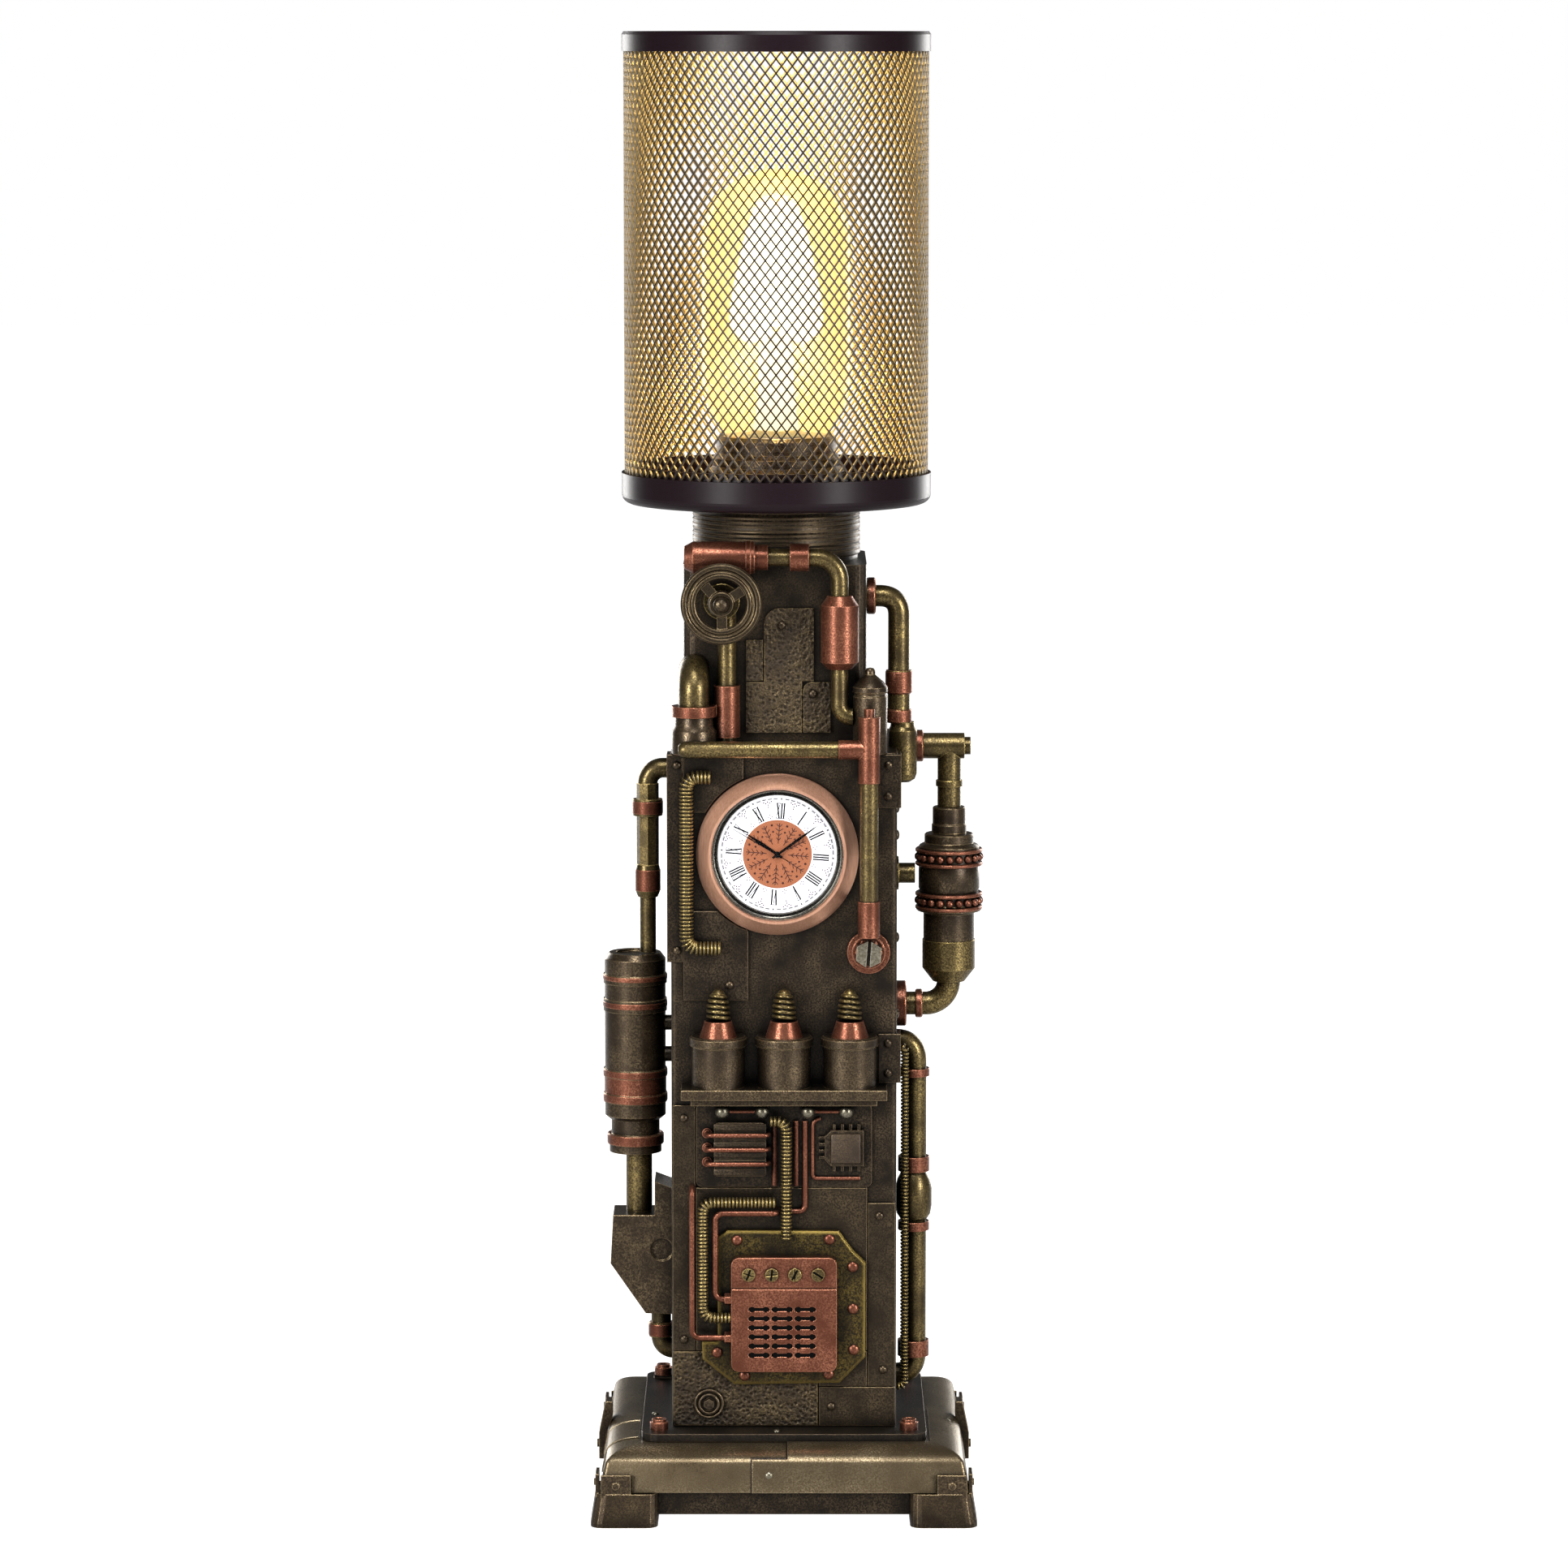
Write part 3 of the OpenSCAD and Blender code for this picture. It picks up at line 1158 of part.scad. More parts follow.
// Round piece of the clock insert, from y forward by l
module clock_disc(y, l, r_out, r_in = 0) {
  translate([clock_x, y, clock_z]) rotate([90, 0, 0]) difference() {
    cylinder(r = r_out, h = l);
    if (r_in > 0) translate([0, 0, -1]) cylinder(r = r_in, h = l + 2);
  }
}

module clock_bezel() {
  color("#c08a5a") translate([clock_x, clock_y, clock_z]) rotate([90, 0, 0]) rotate_extrude($fn = 128) polygon([
    [bezel_in, 0], [bezel_r, 0], [bezel_r, 1.4], [bezel_r - 0.6, 2], [bezel_in + 0.7, bezel_t],
    [bezel_in + 0.2, bezel_t], [bezel_in, bezel_t - 0.3]]);
}

module clock_lens() {
  color("#e8eef0", 0.3) clock_disc(clock_y - 3, 0.8, bezel_in - fit);
}

module clock_dial() {
  ring = 13.4;
  color("#efe6d2") {
    clock_disc(clock_y, dial_t, bezel_in - fit);
    clock_disc(dial_face, 0.2, centre_r);
    clock_disc(dial_face, 2, arbor_r);
    translate([clock_x, dial_face, clock_z]) rotate([90, clock_turn, 0]) for (i = [0:11]) rotate([0, 0, i * 30])
      translate([-0.35, ring - 1, 0]) cube([0.7, 2, 0.15]);
  }
}

module clock_case() {
  color("#1d1d1f") union() {
    clock_disc(clock_y + case_d, case_d - fit, case_r);
    clock_disc(clock_y + case_d + 0.3, 1, case_r - 3);
  }
}

// Hand with its hub, pointing at an angle clockwise from twelve
module clock_hand(a, y, l, hub_r, w, tail) {
  translate([clock_x, y, clock_z]) rotate([90, a, 0]) difference() {
    linear_extrude(hand_t) union() {
      circle(r = hub_r);
      polygon([[-w / 4, -tail], [w / 4, -tail], [w / 2, l * 0.55], [0, l], [-w / 2, l * 0.55]]);
    }
    translate([0, 0, -1]) cylinder(r = arbor_r + fit, h = 3);
  }
}

module hour_hand() {
  color("#17181c") clock_hand(hour_a, dial_face - 0.45, hour_l, 1.5, 2.2, 1);
}

module minute_hand() {
  color("#17181c") clock_hand(minute_a, dial_face - 0.95, minute_l, 1.3, 1.4, 1);
}

module second_hand() {
  color("#2a2b2f") clock_hand(second_a, dial_face - 1.45, second_l, 1, 0.5, 3);
}

// Half of the rim's outline: two beads with a groove between them
function rim_half(h) = [[wheel_in, -h / 2], [wheel_in + 0.45, -h], [wheel_in + 1.25, -h], [wheel_in + 1.75, -h / 3],
  [wheel_r - 1.95, -h / 3], [wheel_r - 1.35, -h], [wheel_r - 0.5, -h], [wheel_r, -h / 2]];

module handwheel() {
  spokes = [132, 33, 272];
  h = wheel_t / 2;
  lower = rim_half(h);
  upper = rim_half(-h);
  spoke_t = 1.1;
  hub_h = 1.2;
  color("#c9a25c") translate([wheel_x, wheel_y, wheel_z]) rotate([90, 0, 0]) {
    difference() {
      union() {
        rotate_extrude($fn = 96) polygon(concat(lower, [for (i = [len(upper) - 1:-1:0]) upper[i]]));
        for (a = spokes) rotate([0, 0, a]) translate([1.5, -spoke_w / 2, -spoke_t / 2])
          cube([wheel_in - 1, spoke_w, spoke_t]);
        rotate_extrude() polygon([[0, -h], [3, -h], [3.4, -h / 2], [3.4, h / 2], [3, hub_h], [2.3, hub_h],
          [2.1, hub_h - 0.3], [0, hub_h - 0.3]]);
      }
      translate([0, 0, -3]) cylinder(r = spindle_r + fit, h = 6);
    }
    translate([0, 0, -8.4]) cylinder(r = spindle_r, h = 8.4 + hub_h);
    translate([0, 0, hub_h - 0.3 + fit]) rotate_extrude() polygon([[0, 0], [1.6, 0], [2, 0.6], [2.1, 1.3],
      [1.9, 2.1], [1.3, 2.8], [0.6, 3.1], [0, 3.1]]);
  }
}

base_casting();
corner_feet();
base_clips();
base_top_plate();
plate_bolts();
bottom_cover();
cord_grommet();
tower_shell();
neck_drum();
lower_plates();
clock_plates();
upper_plates();
plate_rivets();
porthole_bolt();
canister_shelf();
canisters();
canister_cones();
canister_coils();
circuit_panel();
coil_block();
circuit_chip();
terminal_balls();
panel_wires();
panel_pipes();
spring_hoses();
gasket_frame();
grille_box();
box_screws();
clock_pipes();
pipe_fittings();
upper_elbows();
upper_fittings();
hanging_cylinder();
upper_canister();
upper_right_pipes();
valve_arm();
valve_body();
valve_elbow();
right_riser();
riser_rings();
left_pipe();
left_cylinder();
bracket_block();
left_drain();
shade_pan();
socket_plinth();
lamp_holder();
shade_mesh();
shade_rim();
bulb_glass();
bulb_stem();
bulb_cap();
clock_bezel();
clock_lens();
clock_dial();
clock_case();
hour_hand();
minute_hand();
second_hand();
handwheel();
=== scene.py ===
"""Tower clock lamp: the finish of every piece, laid out as an add-on and run as a script."""

import json
import math

import bmesh
import bpy
from bpy.props import FloatProperty, FloatVectorProperty, IntProperty, PointerProperty
from mathutils import Matrix, Vector


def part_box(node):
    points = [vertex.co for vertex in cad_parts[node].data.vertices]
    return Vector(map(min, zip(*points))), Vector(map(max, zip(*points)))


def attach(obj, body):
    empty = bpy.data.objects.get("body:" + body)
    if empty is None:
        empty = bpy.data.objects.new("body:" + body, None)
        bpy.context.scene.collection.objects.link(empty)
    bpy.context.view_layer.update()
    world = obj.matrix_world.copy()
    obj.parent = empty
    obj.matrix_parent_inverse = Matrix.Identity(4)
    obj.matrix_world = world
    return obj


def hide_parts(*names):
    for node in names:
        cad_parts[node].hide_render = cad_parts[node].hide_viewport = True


bl_info = {
    "name": "Tower clock lamp",
    "version": (1, 0, 0),
    "blender": (4, 5, 0),
    "location": "3D View > Sidebar > Lamp",
    "description": "Builds the finish of a tower clock lamp piece by piece",
    "category": "Object",
}

MM = 0.001
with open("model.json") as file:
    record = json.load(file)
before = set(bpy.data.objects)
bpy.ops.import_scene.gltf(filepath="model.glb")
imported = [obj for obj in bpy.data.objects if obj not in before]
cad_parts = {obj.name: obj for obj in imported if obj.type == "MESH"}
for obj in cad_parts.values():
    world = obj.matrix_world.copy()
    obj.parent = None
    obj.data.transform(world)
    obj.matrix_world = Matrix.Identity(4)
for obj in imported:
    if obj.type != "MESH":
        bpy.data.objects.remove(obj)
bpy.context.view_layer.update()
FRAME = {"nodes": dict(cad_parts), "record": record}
NODES = FRAME["nodes"]


def box_mm(node):
    """Lowest and highest corner of a CAD node, in millimetres."""
    low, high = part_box(node)
    return Vector(low) / MM, Vector(high) / MM


def middle(node):
    """Centre of a CAD node's box, in millimetres."""
    low, high = box_mm(node)
    return (low + high) / 2


# Colours and shader nodes

MATERIALS = {}


def linear(code):
    """Linear RGBA of an sRGB hex colour such as '#8a6a3c'."""
    parts = [int(code[i : i + 2], 16) / 255 for i in (1, 3, 5)]
    return tuple(c / 12.92 if c <= 0.04045 else ((c + 0.055) / 1.055) ** 2.4 for c in parts) + (1.0,)


def add(tree, kind, links=(), **settings):
    """Adds one shader node; settings are its properties, and links are (socket, value or source socket)."""
    node = tree.nodes.new(kind)
    for name, value in settings.items():
        setattr(node, name, value)
    for socket, value in links:
        if isinstance(value, bpy.types.NodeSocket):
            tree.links.new(value, node.inputs[socket])
        else:
            node.inputs[socket].default_value = value
    return node


def blank(name):
    """Empty node tree of a new material, which MATERIALS keeps by its name."""
    material = MATERIALS[name] = bpy.data.materials.new(name)
    material.use_nodes = True
    material.node_tree.nodes.clear()
    return material.node_tree


def cover(tree, shader):
    """Joins a shader to a material's output node."""
    add(tree, "ShaderNodeOutputMaterial", [("Surface", shader.outputs[0])])


def scale_for(size_mm):
    """Texture scale at which one feature is size_mm across on Object coordinates."""
    return 1 / (size_mm * MM)


def object_place(tree):
    """Object coordinates, so that a pattern keeps its size in millimetres."""
    return add(tree, "ShaderNodeTexCoord").outputs["Object"]


def noise(tree, place, size_mm, detail, rough=0.5):
    """Noise with features of size_mm."""
    links = [("Vector", place), ("Scale", scale_for(size_mm)), ("Detail", detail), ("Roughness", rough)]
    return add(tree, "ShaderNodeTexNoise", links).outputs["Fac"]


def remap(tree, value, low=0.0, high=1.0, start=0.0, end=1.0, **settings):
    """Moves a value between low and high to the range from start to end."""
    links = [("Value", value), ("From Min", low), ("From Max", high), ("To Min", start), ("To Max", end)]
    return add(tree, "ShaderNodeMapRange", links, **settings).outputs["Result"]


def blend(tree, factor, first, second):
    """Mixes two colours."""
    return add(tree, "ShaderNodeMix", [("Factor", factor), (6, first), (7, second)], data_type="RGBA").outputs[2]


def vector_math(tree, operation, *values):
    """Vector Math node with its inputs in order."""
    return add(tree, "ShaderNodeVectorMath", enumerate(values), operation=operation)


def edge_on(tree, bias):
    """Share by which a surface is seen edge on."""
    return add(tree, "ShaderNodeLayerWeight", [("Blend", bias)]).outputs["Facing"]


def principled(tree, color, metal, rough, *more):
    """Principled shader; more holds further (socket, value) pairs."""
    links = [("Base Color", color), ("Metallic", metal), ("Roughness", rough), *more]
    return add(tree, "ShaderNodeBsdfPrincipled", links)


def over_clear(tree, amount, shader, tint=(1.0, 1.0, 1.0, 1.0)):
    """Ends a material with that amount of a shader over clear glass of that tint."""
    clear = add(tree, "ShaderNodeBsdfTransparent", [("Color", tint)])
    links = [(0, amount), (1, clear.outputs[0]), (2, shader.outputs[0])]
    cover(tree, add(tree, "ShaderNodeMixShader", links))


GRAIN_MM = 0.45  # fine speckle of the wax
HOLLOW_MM = 7  # reach of the dark wax and painted shade out of a corner


def aged_metal(
    name, deep, body, bright, blotch_mm=7, rough=0.42, metal=0.8, relief_mm=0.0, speckle=0.6, edge_mm=0.35
):
    """Metal with dark wax and painted shade in its hollows and near other parts, and dry-brushed pale paint on its
    edges and high spots.
    """
    tree = blank(name)
    place = object_place(tree)
    blotch = noise(tree, place, blotch_mm, 3.0)
    grain = noise(tree, place, GRAIN_MM, 2.0, 0.7)
    rounded = add(tree, "ShaderNodeBevel", [("Radius", edge_mm * MM)], samples=4).outputs["Normal"]
    flat = add(tree, "ShaderNodeNewGeometry").outputs["Normal"]
    worn = remap(tree, vector_math(tree, "DOT_PRODUCT", rounded, flat).outputs["Value"], 0.995, 0.86)
    # Ambient occlusion darkens the colour towards deep near corners and nearby parts: dark wax, and painted shade
    # where light is blocked
    hollow = add(tree, "ShaderNodeAmbientOcclusion", [("Distance", HOLLOW_MM * MM)], samples=6).outputs["AO"]
    speck = remap(tree, grain, 0.4, 0.66, end=speckle)
    patch = remap(tree, blotch, 0.3, 0.7)
    brushed = add(tree, "ShaderNodeMath", [(0, speck), (1, patch)], operation="MULTIPLY").outputs[0]
    base = blend(tree, brushed, linear(body), linear(bright))
    waxed_and_shaded = blend(tree, remap(tree, hollow, 0.3, 0.92), linear(deep), base)
    lit = blend(tree, worn, waxed_and_shaded, linear(bright))
    gloss = remap(tree, grain, 0.3, 0.7, rough + 0.12, rough - 0.08)
    height = grain
    depth = 0.05
    if relief_mm:
        links = [("Vector", place), ("Scale", scale_for(relief_mm)), ("Randomness", 1.0)]
        dents = add(tree, "ShaderNodeTexVoronoi", links, feature="F1").outputs["Distance"]
        ridge = remap(tree, dents, 0.15, 0.6)
        height = add(tree, "ShaderNodeMath", [(0, grain), (1, ridge)]).outputs[0]
        # Dents are darkened towards deep: dark wax and painted shade in the hammer marks
        lit = blend(tree, remap(tree, ridge, start=0.35), linear(deep), lit)
        depth = 0.35
    links = [("Strength", 0.6), ("Distance", depth * MM), ("Height", height), ("Normal", rounded)]
    bump = add(tree, "ShaderNodeBump", links).outputs["Normal"]
    cover(tree, principled(tree, lit, metal, gloss, ("Normal", bump)))


def plain_shader(name, color, rough, *more):
    """Smooth material of one colour, with a faint grain in its gloss."""
    tree = blank(name)
    grain = noise(tree, object_place(tree), 0.8, 3.0)
    gloss = remap(tree, grain, start=rough - 0.06, end=rough + 0.06)
    cover(tree, principled(tree, linear(color), 0.0, gloss, *more))


def brushed_copper():
    """Copper bezel brushed in one direction, so it shows fine upright lines."""
    tree = blank("brushed_copper_bezel")
    links = [("Vector", object_place(tree)), ("Scale", (1.0, 1.0, 0.06))]
    lines = noise(tree, add(tree, "ShaderNodeMapping", links).outputs["Vector"], 0.35, 2.0)
    tint = blend(tree, lines, linear("#c0866a"), linear("#efbfa2"))
    links = [("Strength", 0.35), ("Distance", 0.03 * MM), ("Height", lines)]
    bump = add(tree, "ShaderNodeBump", links).outputs["Normal"]
    cover(tree, principled(tree, tint, 0.9, 0.36, ("Normal", bump)))


def amber_glass():
    """Amber coated bulb glass: clear enough to see the filaments, deeper where it is seen edge on, with a painted
    glow of the lit bulb that is whitest at its middle.
    """
    tree = blank("amber_bulb_glass")
    rim = edge_on(tree, 0.35)
    # Painted glow: the glass gives a pale light of its own
    glow_links = ("Emission Color", linear("#f5ecb4")), ("Emission Strength", 0.8)
    shell = principled(tree, linear("#e8c878"), 0.0, 0.08, *glow_links)
    # Near white where the glass is seen face on is painted glow; the amber at its edge is the glass's colour
    tint = blend(tree, rim, linear("#fffef6"), linear("#f7dc98"))
    over_clear(tree, remap(tree, rim, start=0.12, end=0.6), shell, tint)


def clear_lens():
    """Flat mineral glass over the dial."""
    tree = blank("mineral_glass_lens")
    gloss = add(tree, "ShaderNodeBsdfGlossy", [("Roughness", 0.03)])
    edge = remap(tree, edge_on(tree, 0.5), low=0.6, start=0.004, end=0.15)
    over_clear(tree, edge, gloss, (0.97, 0.98, 1.0, 1.0))


def mesh_paint(centre_x):
    """Bronze paint on the outside of the mesh; the pale gold on its inner side is painted light, standing in for the
    bulb's glow on it.
    """
    tree = blank("mesh_bronze_and_painted_glow")
    from_axis = vector_math(tree, "SUBTRACT", object_place(tree), (centre_x, 0.0, 0.0)).outputs[0]
    level = vector_math(tree, "MULTIPLY", from_axis, (1.0, 1.0, 0.0)).outputs[0]
    radial = vector_math(tree, "NORMALIZE", level).outputs[0]
    flat = add(tree, "ShaderNodeNewGeometry").outputs["Normal"]
    outward = vector_math(tree, "DOT_PRODUCT", radial, flat).outputs["Value"]
    # Pale gold where a strand faces the axis is a painted glow of the bulb; dark bronze where it faces out is the
    # paint
    tint = blend(tree, remap(tree, outward, -0.8, 0.35), linear("#e3c47c"), linear("#1d130b"))
    cover(tree, principled(tree, tint, 0.3, 0.5))


def soft_glow():
    """Glow round a lit filament: white at its middle and clear at its edge."""
    tree = blank("filament_glow")
    amount = remap(tree, edge_on(tree, 0.3), 0.1, 0.85, 1.0, 0.0, interpolation_type="SMOOTHSTEP")
    light = add(tree, "ShaderNodeEmission", [("Color", linear("#fffdf0")), ("Strength", 3.0)])
    over_clear(tree, amount, light)


def glow(name, color, strength):
    """Glowing material: a lit filament that gives light and reads as white hot, or the painted glow of the stem
    glass.
    """
    tree = blank(name)
    cover(tree, add(tree, "ShaderNodeEmission", [("Color", linear(color)), ("Strength", strength)]))


def make_materials():
    """Makes every finish of the lamp."""
    # Cold cast bronze under dark wax: brown-black hollows, of wax and of painted shade, and dull gold on the edges
    aged_metal("dark_bronze", "#070504", "#1f1913", "#7a6850", rough=0.36)
    aged_metal("light_bronze", "#0a0806", "#342a20", "#a58f6c", rough=0.3, speckle=0.4)
    aged_metal("base_bronze", "#0e0b08", "#594c38", "#bba988", rough=0.3, blotch_mm=12)
    # Hammered plates: dents the size of a ball hammer's mark; and plain plates, a little lighter than the wall
    aged_metal("hammered_bronze", "#090706", "#30271d", "#85724f", relief_mm=1.1)
    aged_metal("plate_bronze", "#080605", "#2a2219", "#8d795a", rough=0.34, speckle=0.35)
    # Gasket frame: nearly black with a wide rubbed border, and the chip's brown cap
    aged_metal("frame_bronze", "#060504", "#20190e", "#97803f", edge_mm=1.5)
    aged_metal("chip_bronze", "#0a0705", "#30251b", "#77644c", metal=0.5)
    # Antique brass pipe: dark between rubbed golden patches
    aged_metal("aged_brass", "#0b0805", "#443924", "#c4ab6c", rough=0.3, metal=0.85)
    # Antique copper: brown wax over copper, bright where it is rubbed
    aged_metal("aged_copper", "#120805", "#5e3425", "#cb8769", rough=0.3)
    # Blackened iron and dull steel: the dark and the pale small parts
    aged_metal("black_iron", "#040303", "#17130f", "#5c4d3b", rough=0.4, metal=0.7)
    aged_metal("dull_steel", "#15130f", "#6a6455", "#c9c3b0", rough=0.3, metal=0.9)
    # Purple-black enamel of the pan and rim, with little shine
    plain_shader("black_purple_enamel", "#150b10", 0.34, ("Specular IOR Level", 0.14))
    mesh_paint(middle("shade_mesh").x * MM)
    brushed_copper()
    amber_glass()
    clear_lens()
    glow("lit_filament", "#ffedc0", 60.0)
    # The stem glass glows white: a painted glow standing for the light round the filaments
    glow("stem_glass_painted_glow", "#fffbe8", 1.6)
    soft_glow()
    # White card with a faint painted glow, so that it stays white behind the lens, and the matt inks on it
    card_light = ("Emission Color", linear("#fff8f4")), ("Emission Strength", 0.16)
    plain_shader("printed_dial_card", "#fbf8f6", 0.6, *card_light)
    plain_shader("dial_copper_print", "#96552f", 0.7)
    plain_shader("dial_ink", "#050505", 0.9, ("Specular IOR Level", 0.05))
    plain_shader("centre_print_ink", "#3a160c", 0.9)
    plain_shader("ornament_ink", "#4f3a4c", 0.9)
    plain_shader("grommet_rubber", "#161616", 0.7)
    plain_shader("moulded_black_plastic", "#15161a", 0.45)


# Making pieces


def placed(name, data):
    """New object in the scene."""
    thing = bpy.data.objects.new(name, data)
    bpy.context.scene.collection.objects.link(thing)
    return thing


def mesh_of(name, form):
    """New mesh with what a bmesh holds; the bmesh is freed."""
    mesh = bpy.data.meshes.new(name)
    form.to_mesh(mesh)
    form.free()
    return mesh


def piece(name, form, finish, stands_for=(), body="tower", slot=None, smooth=35):
    """Turns a finished bmesh into an object on a body, with its finish as its material; slot is not used."""
    bmesh.ops.remove_doubles(form, verts=form.verts, dist=0.0005 * MM)
    bmesh.ops.recalc_face_normals(form, faces=form.faces)
    mesh = mesh_of(name, form)
    mesh.shade_smooth()
    mesh.set_sharp_from_angle(angle=math.radians(smooth))
    thing = placed(name, mesh)
    mesh.materials.append(MATERIALS[finish])
    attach(thing, body)
    if stands_for:
        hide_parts(*stands_for)


def point(x, y, z):
    """Place given in millimetres."""
    return Vector((x, y, z)) * MM


def turned(form, outline, base, axis=(0, 0, 1), steps=48):
    """Spins an outline of (radius, height) in millimetres round an axis through base."""
    axis = Vector(axis)
    turn = Vector((0, 0, 1)).rotation_difference(axis).to_matrix().to_4x4()
    place = Matrix.Translation(base) @ turn
    verts = [form.verts.new(place @ point(r, 0, h)) for r, h in outline]
    edges = [form.edges.new(pair) for pair in zip(verts, verts[1:])]
    bmesh.ops.spin(form, geom=verts + edges, cent=base, axis=axis, angle=math.tau, steps=steps, use_merge=True)


def turned_piece(name, outline, base, finish, axis=(0, 0, 1), steps=48, **wear):
    """Piece that is one turned outline; wear holds what piece takes besides."""
    form = bmesh.new()
    turned(form, outline, base, axis, steps)
    piece(name, form, finish, **wear)


def block(form, centre, size, turn=None):
    """Box of that size in millimetres, turned by a matrix."""
    matrix = Matrix.Translation(centre) @ (turn or Matrix()) @ Matrix.Diagonal((*(Vector(size) * MM), 1))
    bmesh.ops.create_cube(form, size=1, matrix=matrix)


def rod(form, start, end, radius, sides=12, top=None):
    """Round rod between two points; top is its radius at the far end."""
    way = end - start
    turn = Vector((0, 0, 1)).rotation_difference(way).to_matrix().to_4x4()
    bmesh.ops.create_cone(
        form, cap_ends=True, segments=sides, radius1=radius * MM, radius2=(radius if top is None else top) * MM,
        depth=way.length, matrix=Matrix.Translation((start + end) / 2) @ turn,
    )


def stamp(form, part):
    """Adds a finished small bmesh to a larger one."""
    mesh = mesh_of("stamp", part)
    form.from_mesh(mesh)
    bpy.data.meshes.remove(mesh)


def loop_of_wire(form, centre, axis, radius, wire, steps=18, sides=5):
    """Closed ring of round wire about an axis."""
    axis = Vector(axis).normalized()
    across = axis.orthogonal().normalized()
    turn = Matrix((across, axis, across.cross(axis))).transposed().to_4x4()
    ring = bmesh.new()
    bmesh.ops.create_circle(
        ring, cap_ends=False, segments=sides, radius=wire * MM,
        matrix=Matrix.Translation(centre + across * radius * MM) @ turn,
    )
    bmesh.ops.spin(
        ring, geom=ring.verts[:] + ring.edges[:], cent=centre, axis=axis, angle=math.tau, steps=steps,
        use_merge=True,
    )
    stamp(form, ring)


def route(points, turn, step):
    """Even points along a path of straight runs with rounded corners, and the heading at each."""
    track = [points[0]]
    for before, corner, after in zip(points, points[1:], points[2:]):
        into = (corner - before).normalized()
        away = (after - corner).normalized()
        start = corner - into * turn
        end = corner + away * turn
        for i in range(13):
            t = i / 12
            track.append(start * (1 - t) ** 2 + corner * 2 * t * (1 - t) + end * t**2)
    track.append(points[-1])
    even = []
    left = 0.0
    for a, b in zip(track, track[1:]):
        length = (b - a).length
        while left <= length and length > 0:
            even.append((a + (b - a) * (left / length), (b - a).normalized()))
            left += step
        left -= length
    return even


def spring(rings, core, points, radius, pitch, turn):
    """Spring hose along a path: one wire ring for each turn over a dark core tube."""
    wire = pitch * 0.42
    for place, heading in route([p * MM for p in points], turn * MM, pitch * MM):
        loop_of_wire(rings, place, heading, radius - wire, wire)
    path = route([p * MM for p in points], turn * MM, 1.0 * MM)
    for (a, way), (b, _) in zip(path, path[1:]):
        rod(core, a, b + way * 0.2 * MM, radius - 1.4 * wire, sides=10)


def pipe(form, points, radius, turn):
    """Smooth pipe along a path of straight runs and bends, all in millimetres."""
    path = route([Vector(p) * MM for p in points], turn * MM, 0.7 * MM)
    before = []
    for place, heading in path:
        spin = Vector((0, 0, 1)).rotation_difference(heading).to_matrix().to_4x4()
        bmesh.ops.create_circle(
            form, cap_ends=False, segments=24, radius=radius * MM, matrix=Matrix.Translation(place) @ spin
        )
        ring = [e for e in form.edges if e.is_wire and e not in before]
        if before:
            bmesh.ops.bridge_loops(form, edges=before + ring)
        before = ring


def keep(form, place, way):
    """Cuts a form at a plane in millimetres and keeps what lies on the side that way points to."""
    bmesh.ops.bisect_plane(
        form, geom=form.verts[:] + form.edges[:] + form.faces[:], plane_co=Vector(place) * MM, plane_no=way,
        clear_inner=True,
    )


def thicken(form):
    """Gives an open sheet its wall."""
    bmesh.ops.recalc_face_normals(form, faces=form.faces)
    bmesh.ops.solidify(form, geom=form.faces[:], thickness=SHEET_WALL * MM)


def soften(form, radius):
    """Rounds every edge of a form by that many millimetres."""
    bmesh.ops.bevel(
        form, geom=form.edges[:], offset=radius * MM, segments=2, profile=0.5, affect="EDGES", material=-1
    )


def solids_of(node):
    """Lowest and highest corner of every loose solid in a CAD node, in millimetres."""
    form = bmesh.new()
    form.from_mesh(NODES[node].data)
    bmesh.ops.remove_doubles(form, verts=form.verts, dist=0.001 * MM)
    left = set(form.verts)
    boxes = []
    while left:
        reached = [left.pop()]
        for vert in reached:
            for edge in vert.link_edges:
                other = edge.other_vert(vert)
                if other in left:
                    left.remove(other)
                    reached.append(other)
        places = [vert.co / MM for vert in reached]
        boxes.append((Vector(map(min, zip(*places))), Vector(map(max, zip(*places)))))
    form.free()
    return boxes


# Sizes that a user would change


class LampSizes(bpy.types.PropertyGroup):
    """Counts and sizes of the repeated detail."""

    mesh_columns: IntProperty(name="Mesh columns", description="Diamonds round the shade", default=90, min=40)
    mesh_rows: IntProperty(name="Mesh rows", description="Diamonds from pan to rim", default=30, min=12)
    strand: FloatProperty(name="Strand", description="Width of a mesh strand in mm", default=0.39)
    hose_pitch: FloatProperty(name="Hose pitch", description="Pitch of the spring hoses in mm", default=0.95)
    bulb_power: FloatProperty(name="Bulb power", description="Light of the bulb in watts", default=6.0)
    floor_color: FloatVectorProperty(
        name="Floor", description="Colour of the floor", subtype="COLOR", size=3, default=(1.0, 1.0, 1.0)
    )


# Pieces


# Finish of a material slot, where its name differs
FINISH_OF = {
    "copper": "aged_copper",
    "black_rubber": "grommet_rubber",
    "black_plastic": "moulded_black_plastic",
    "black_enamel": "black_purple_enamel",
    "gilt_mesh": "mesh_bronze_and_painted_glow",
    "amber_glass": "amber_bulb_glass",
    "lit_filament": "stem_glass_painted_glow",
    "brushed_copper": "brushed_copper_bezel",
    "clear_glass": "mineral_glass_lens",
    "dial_paper": "printed_dial_card",
}
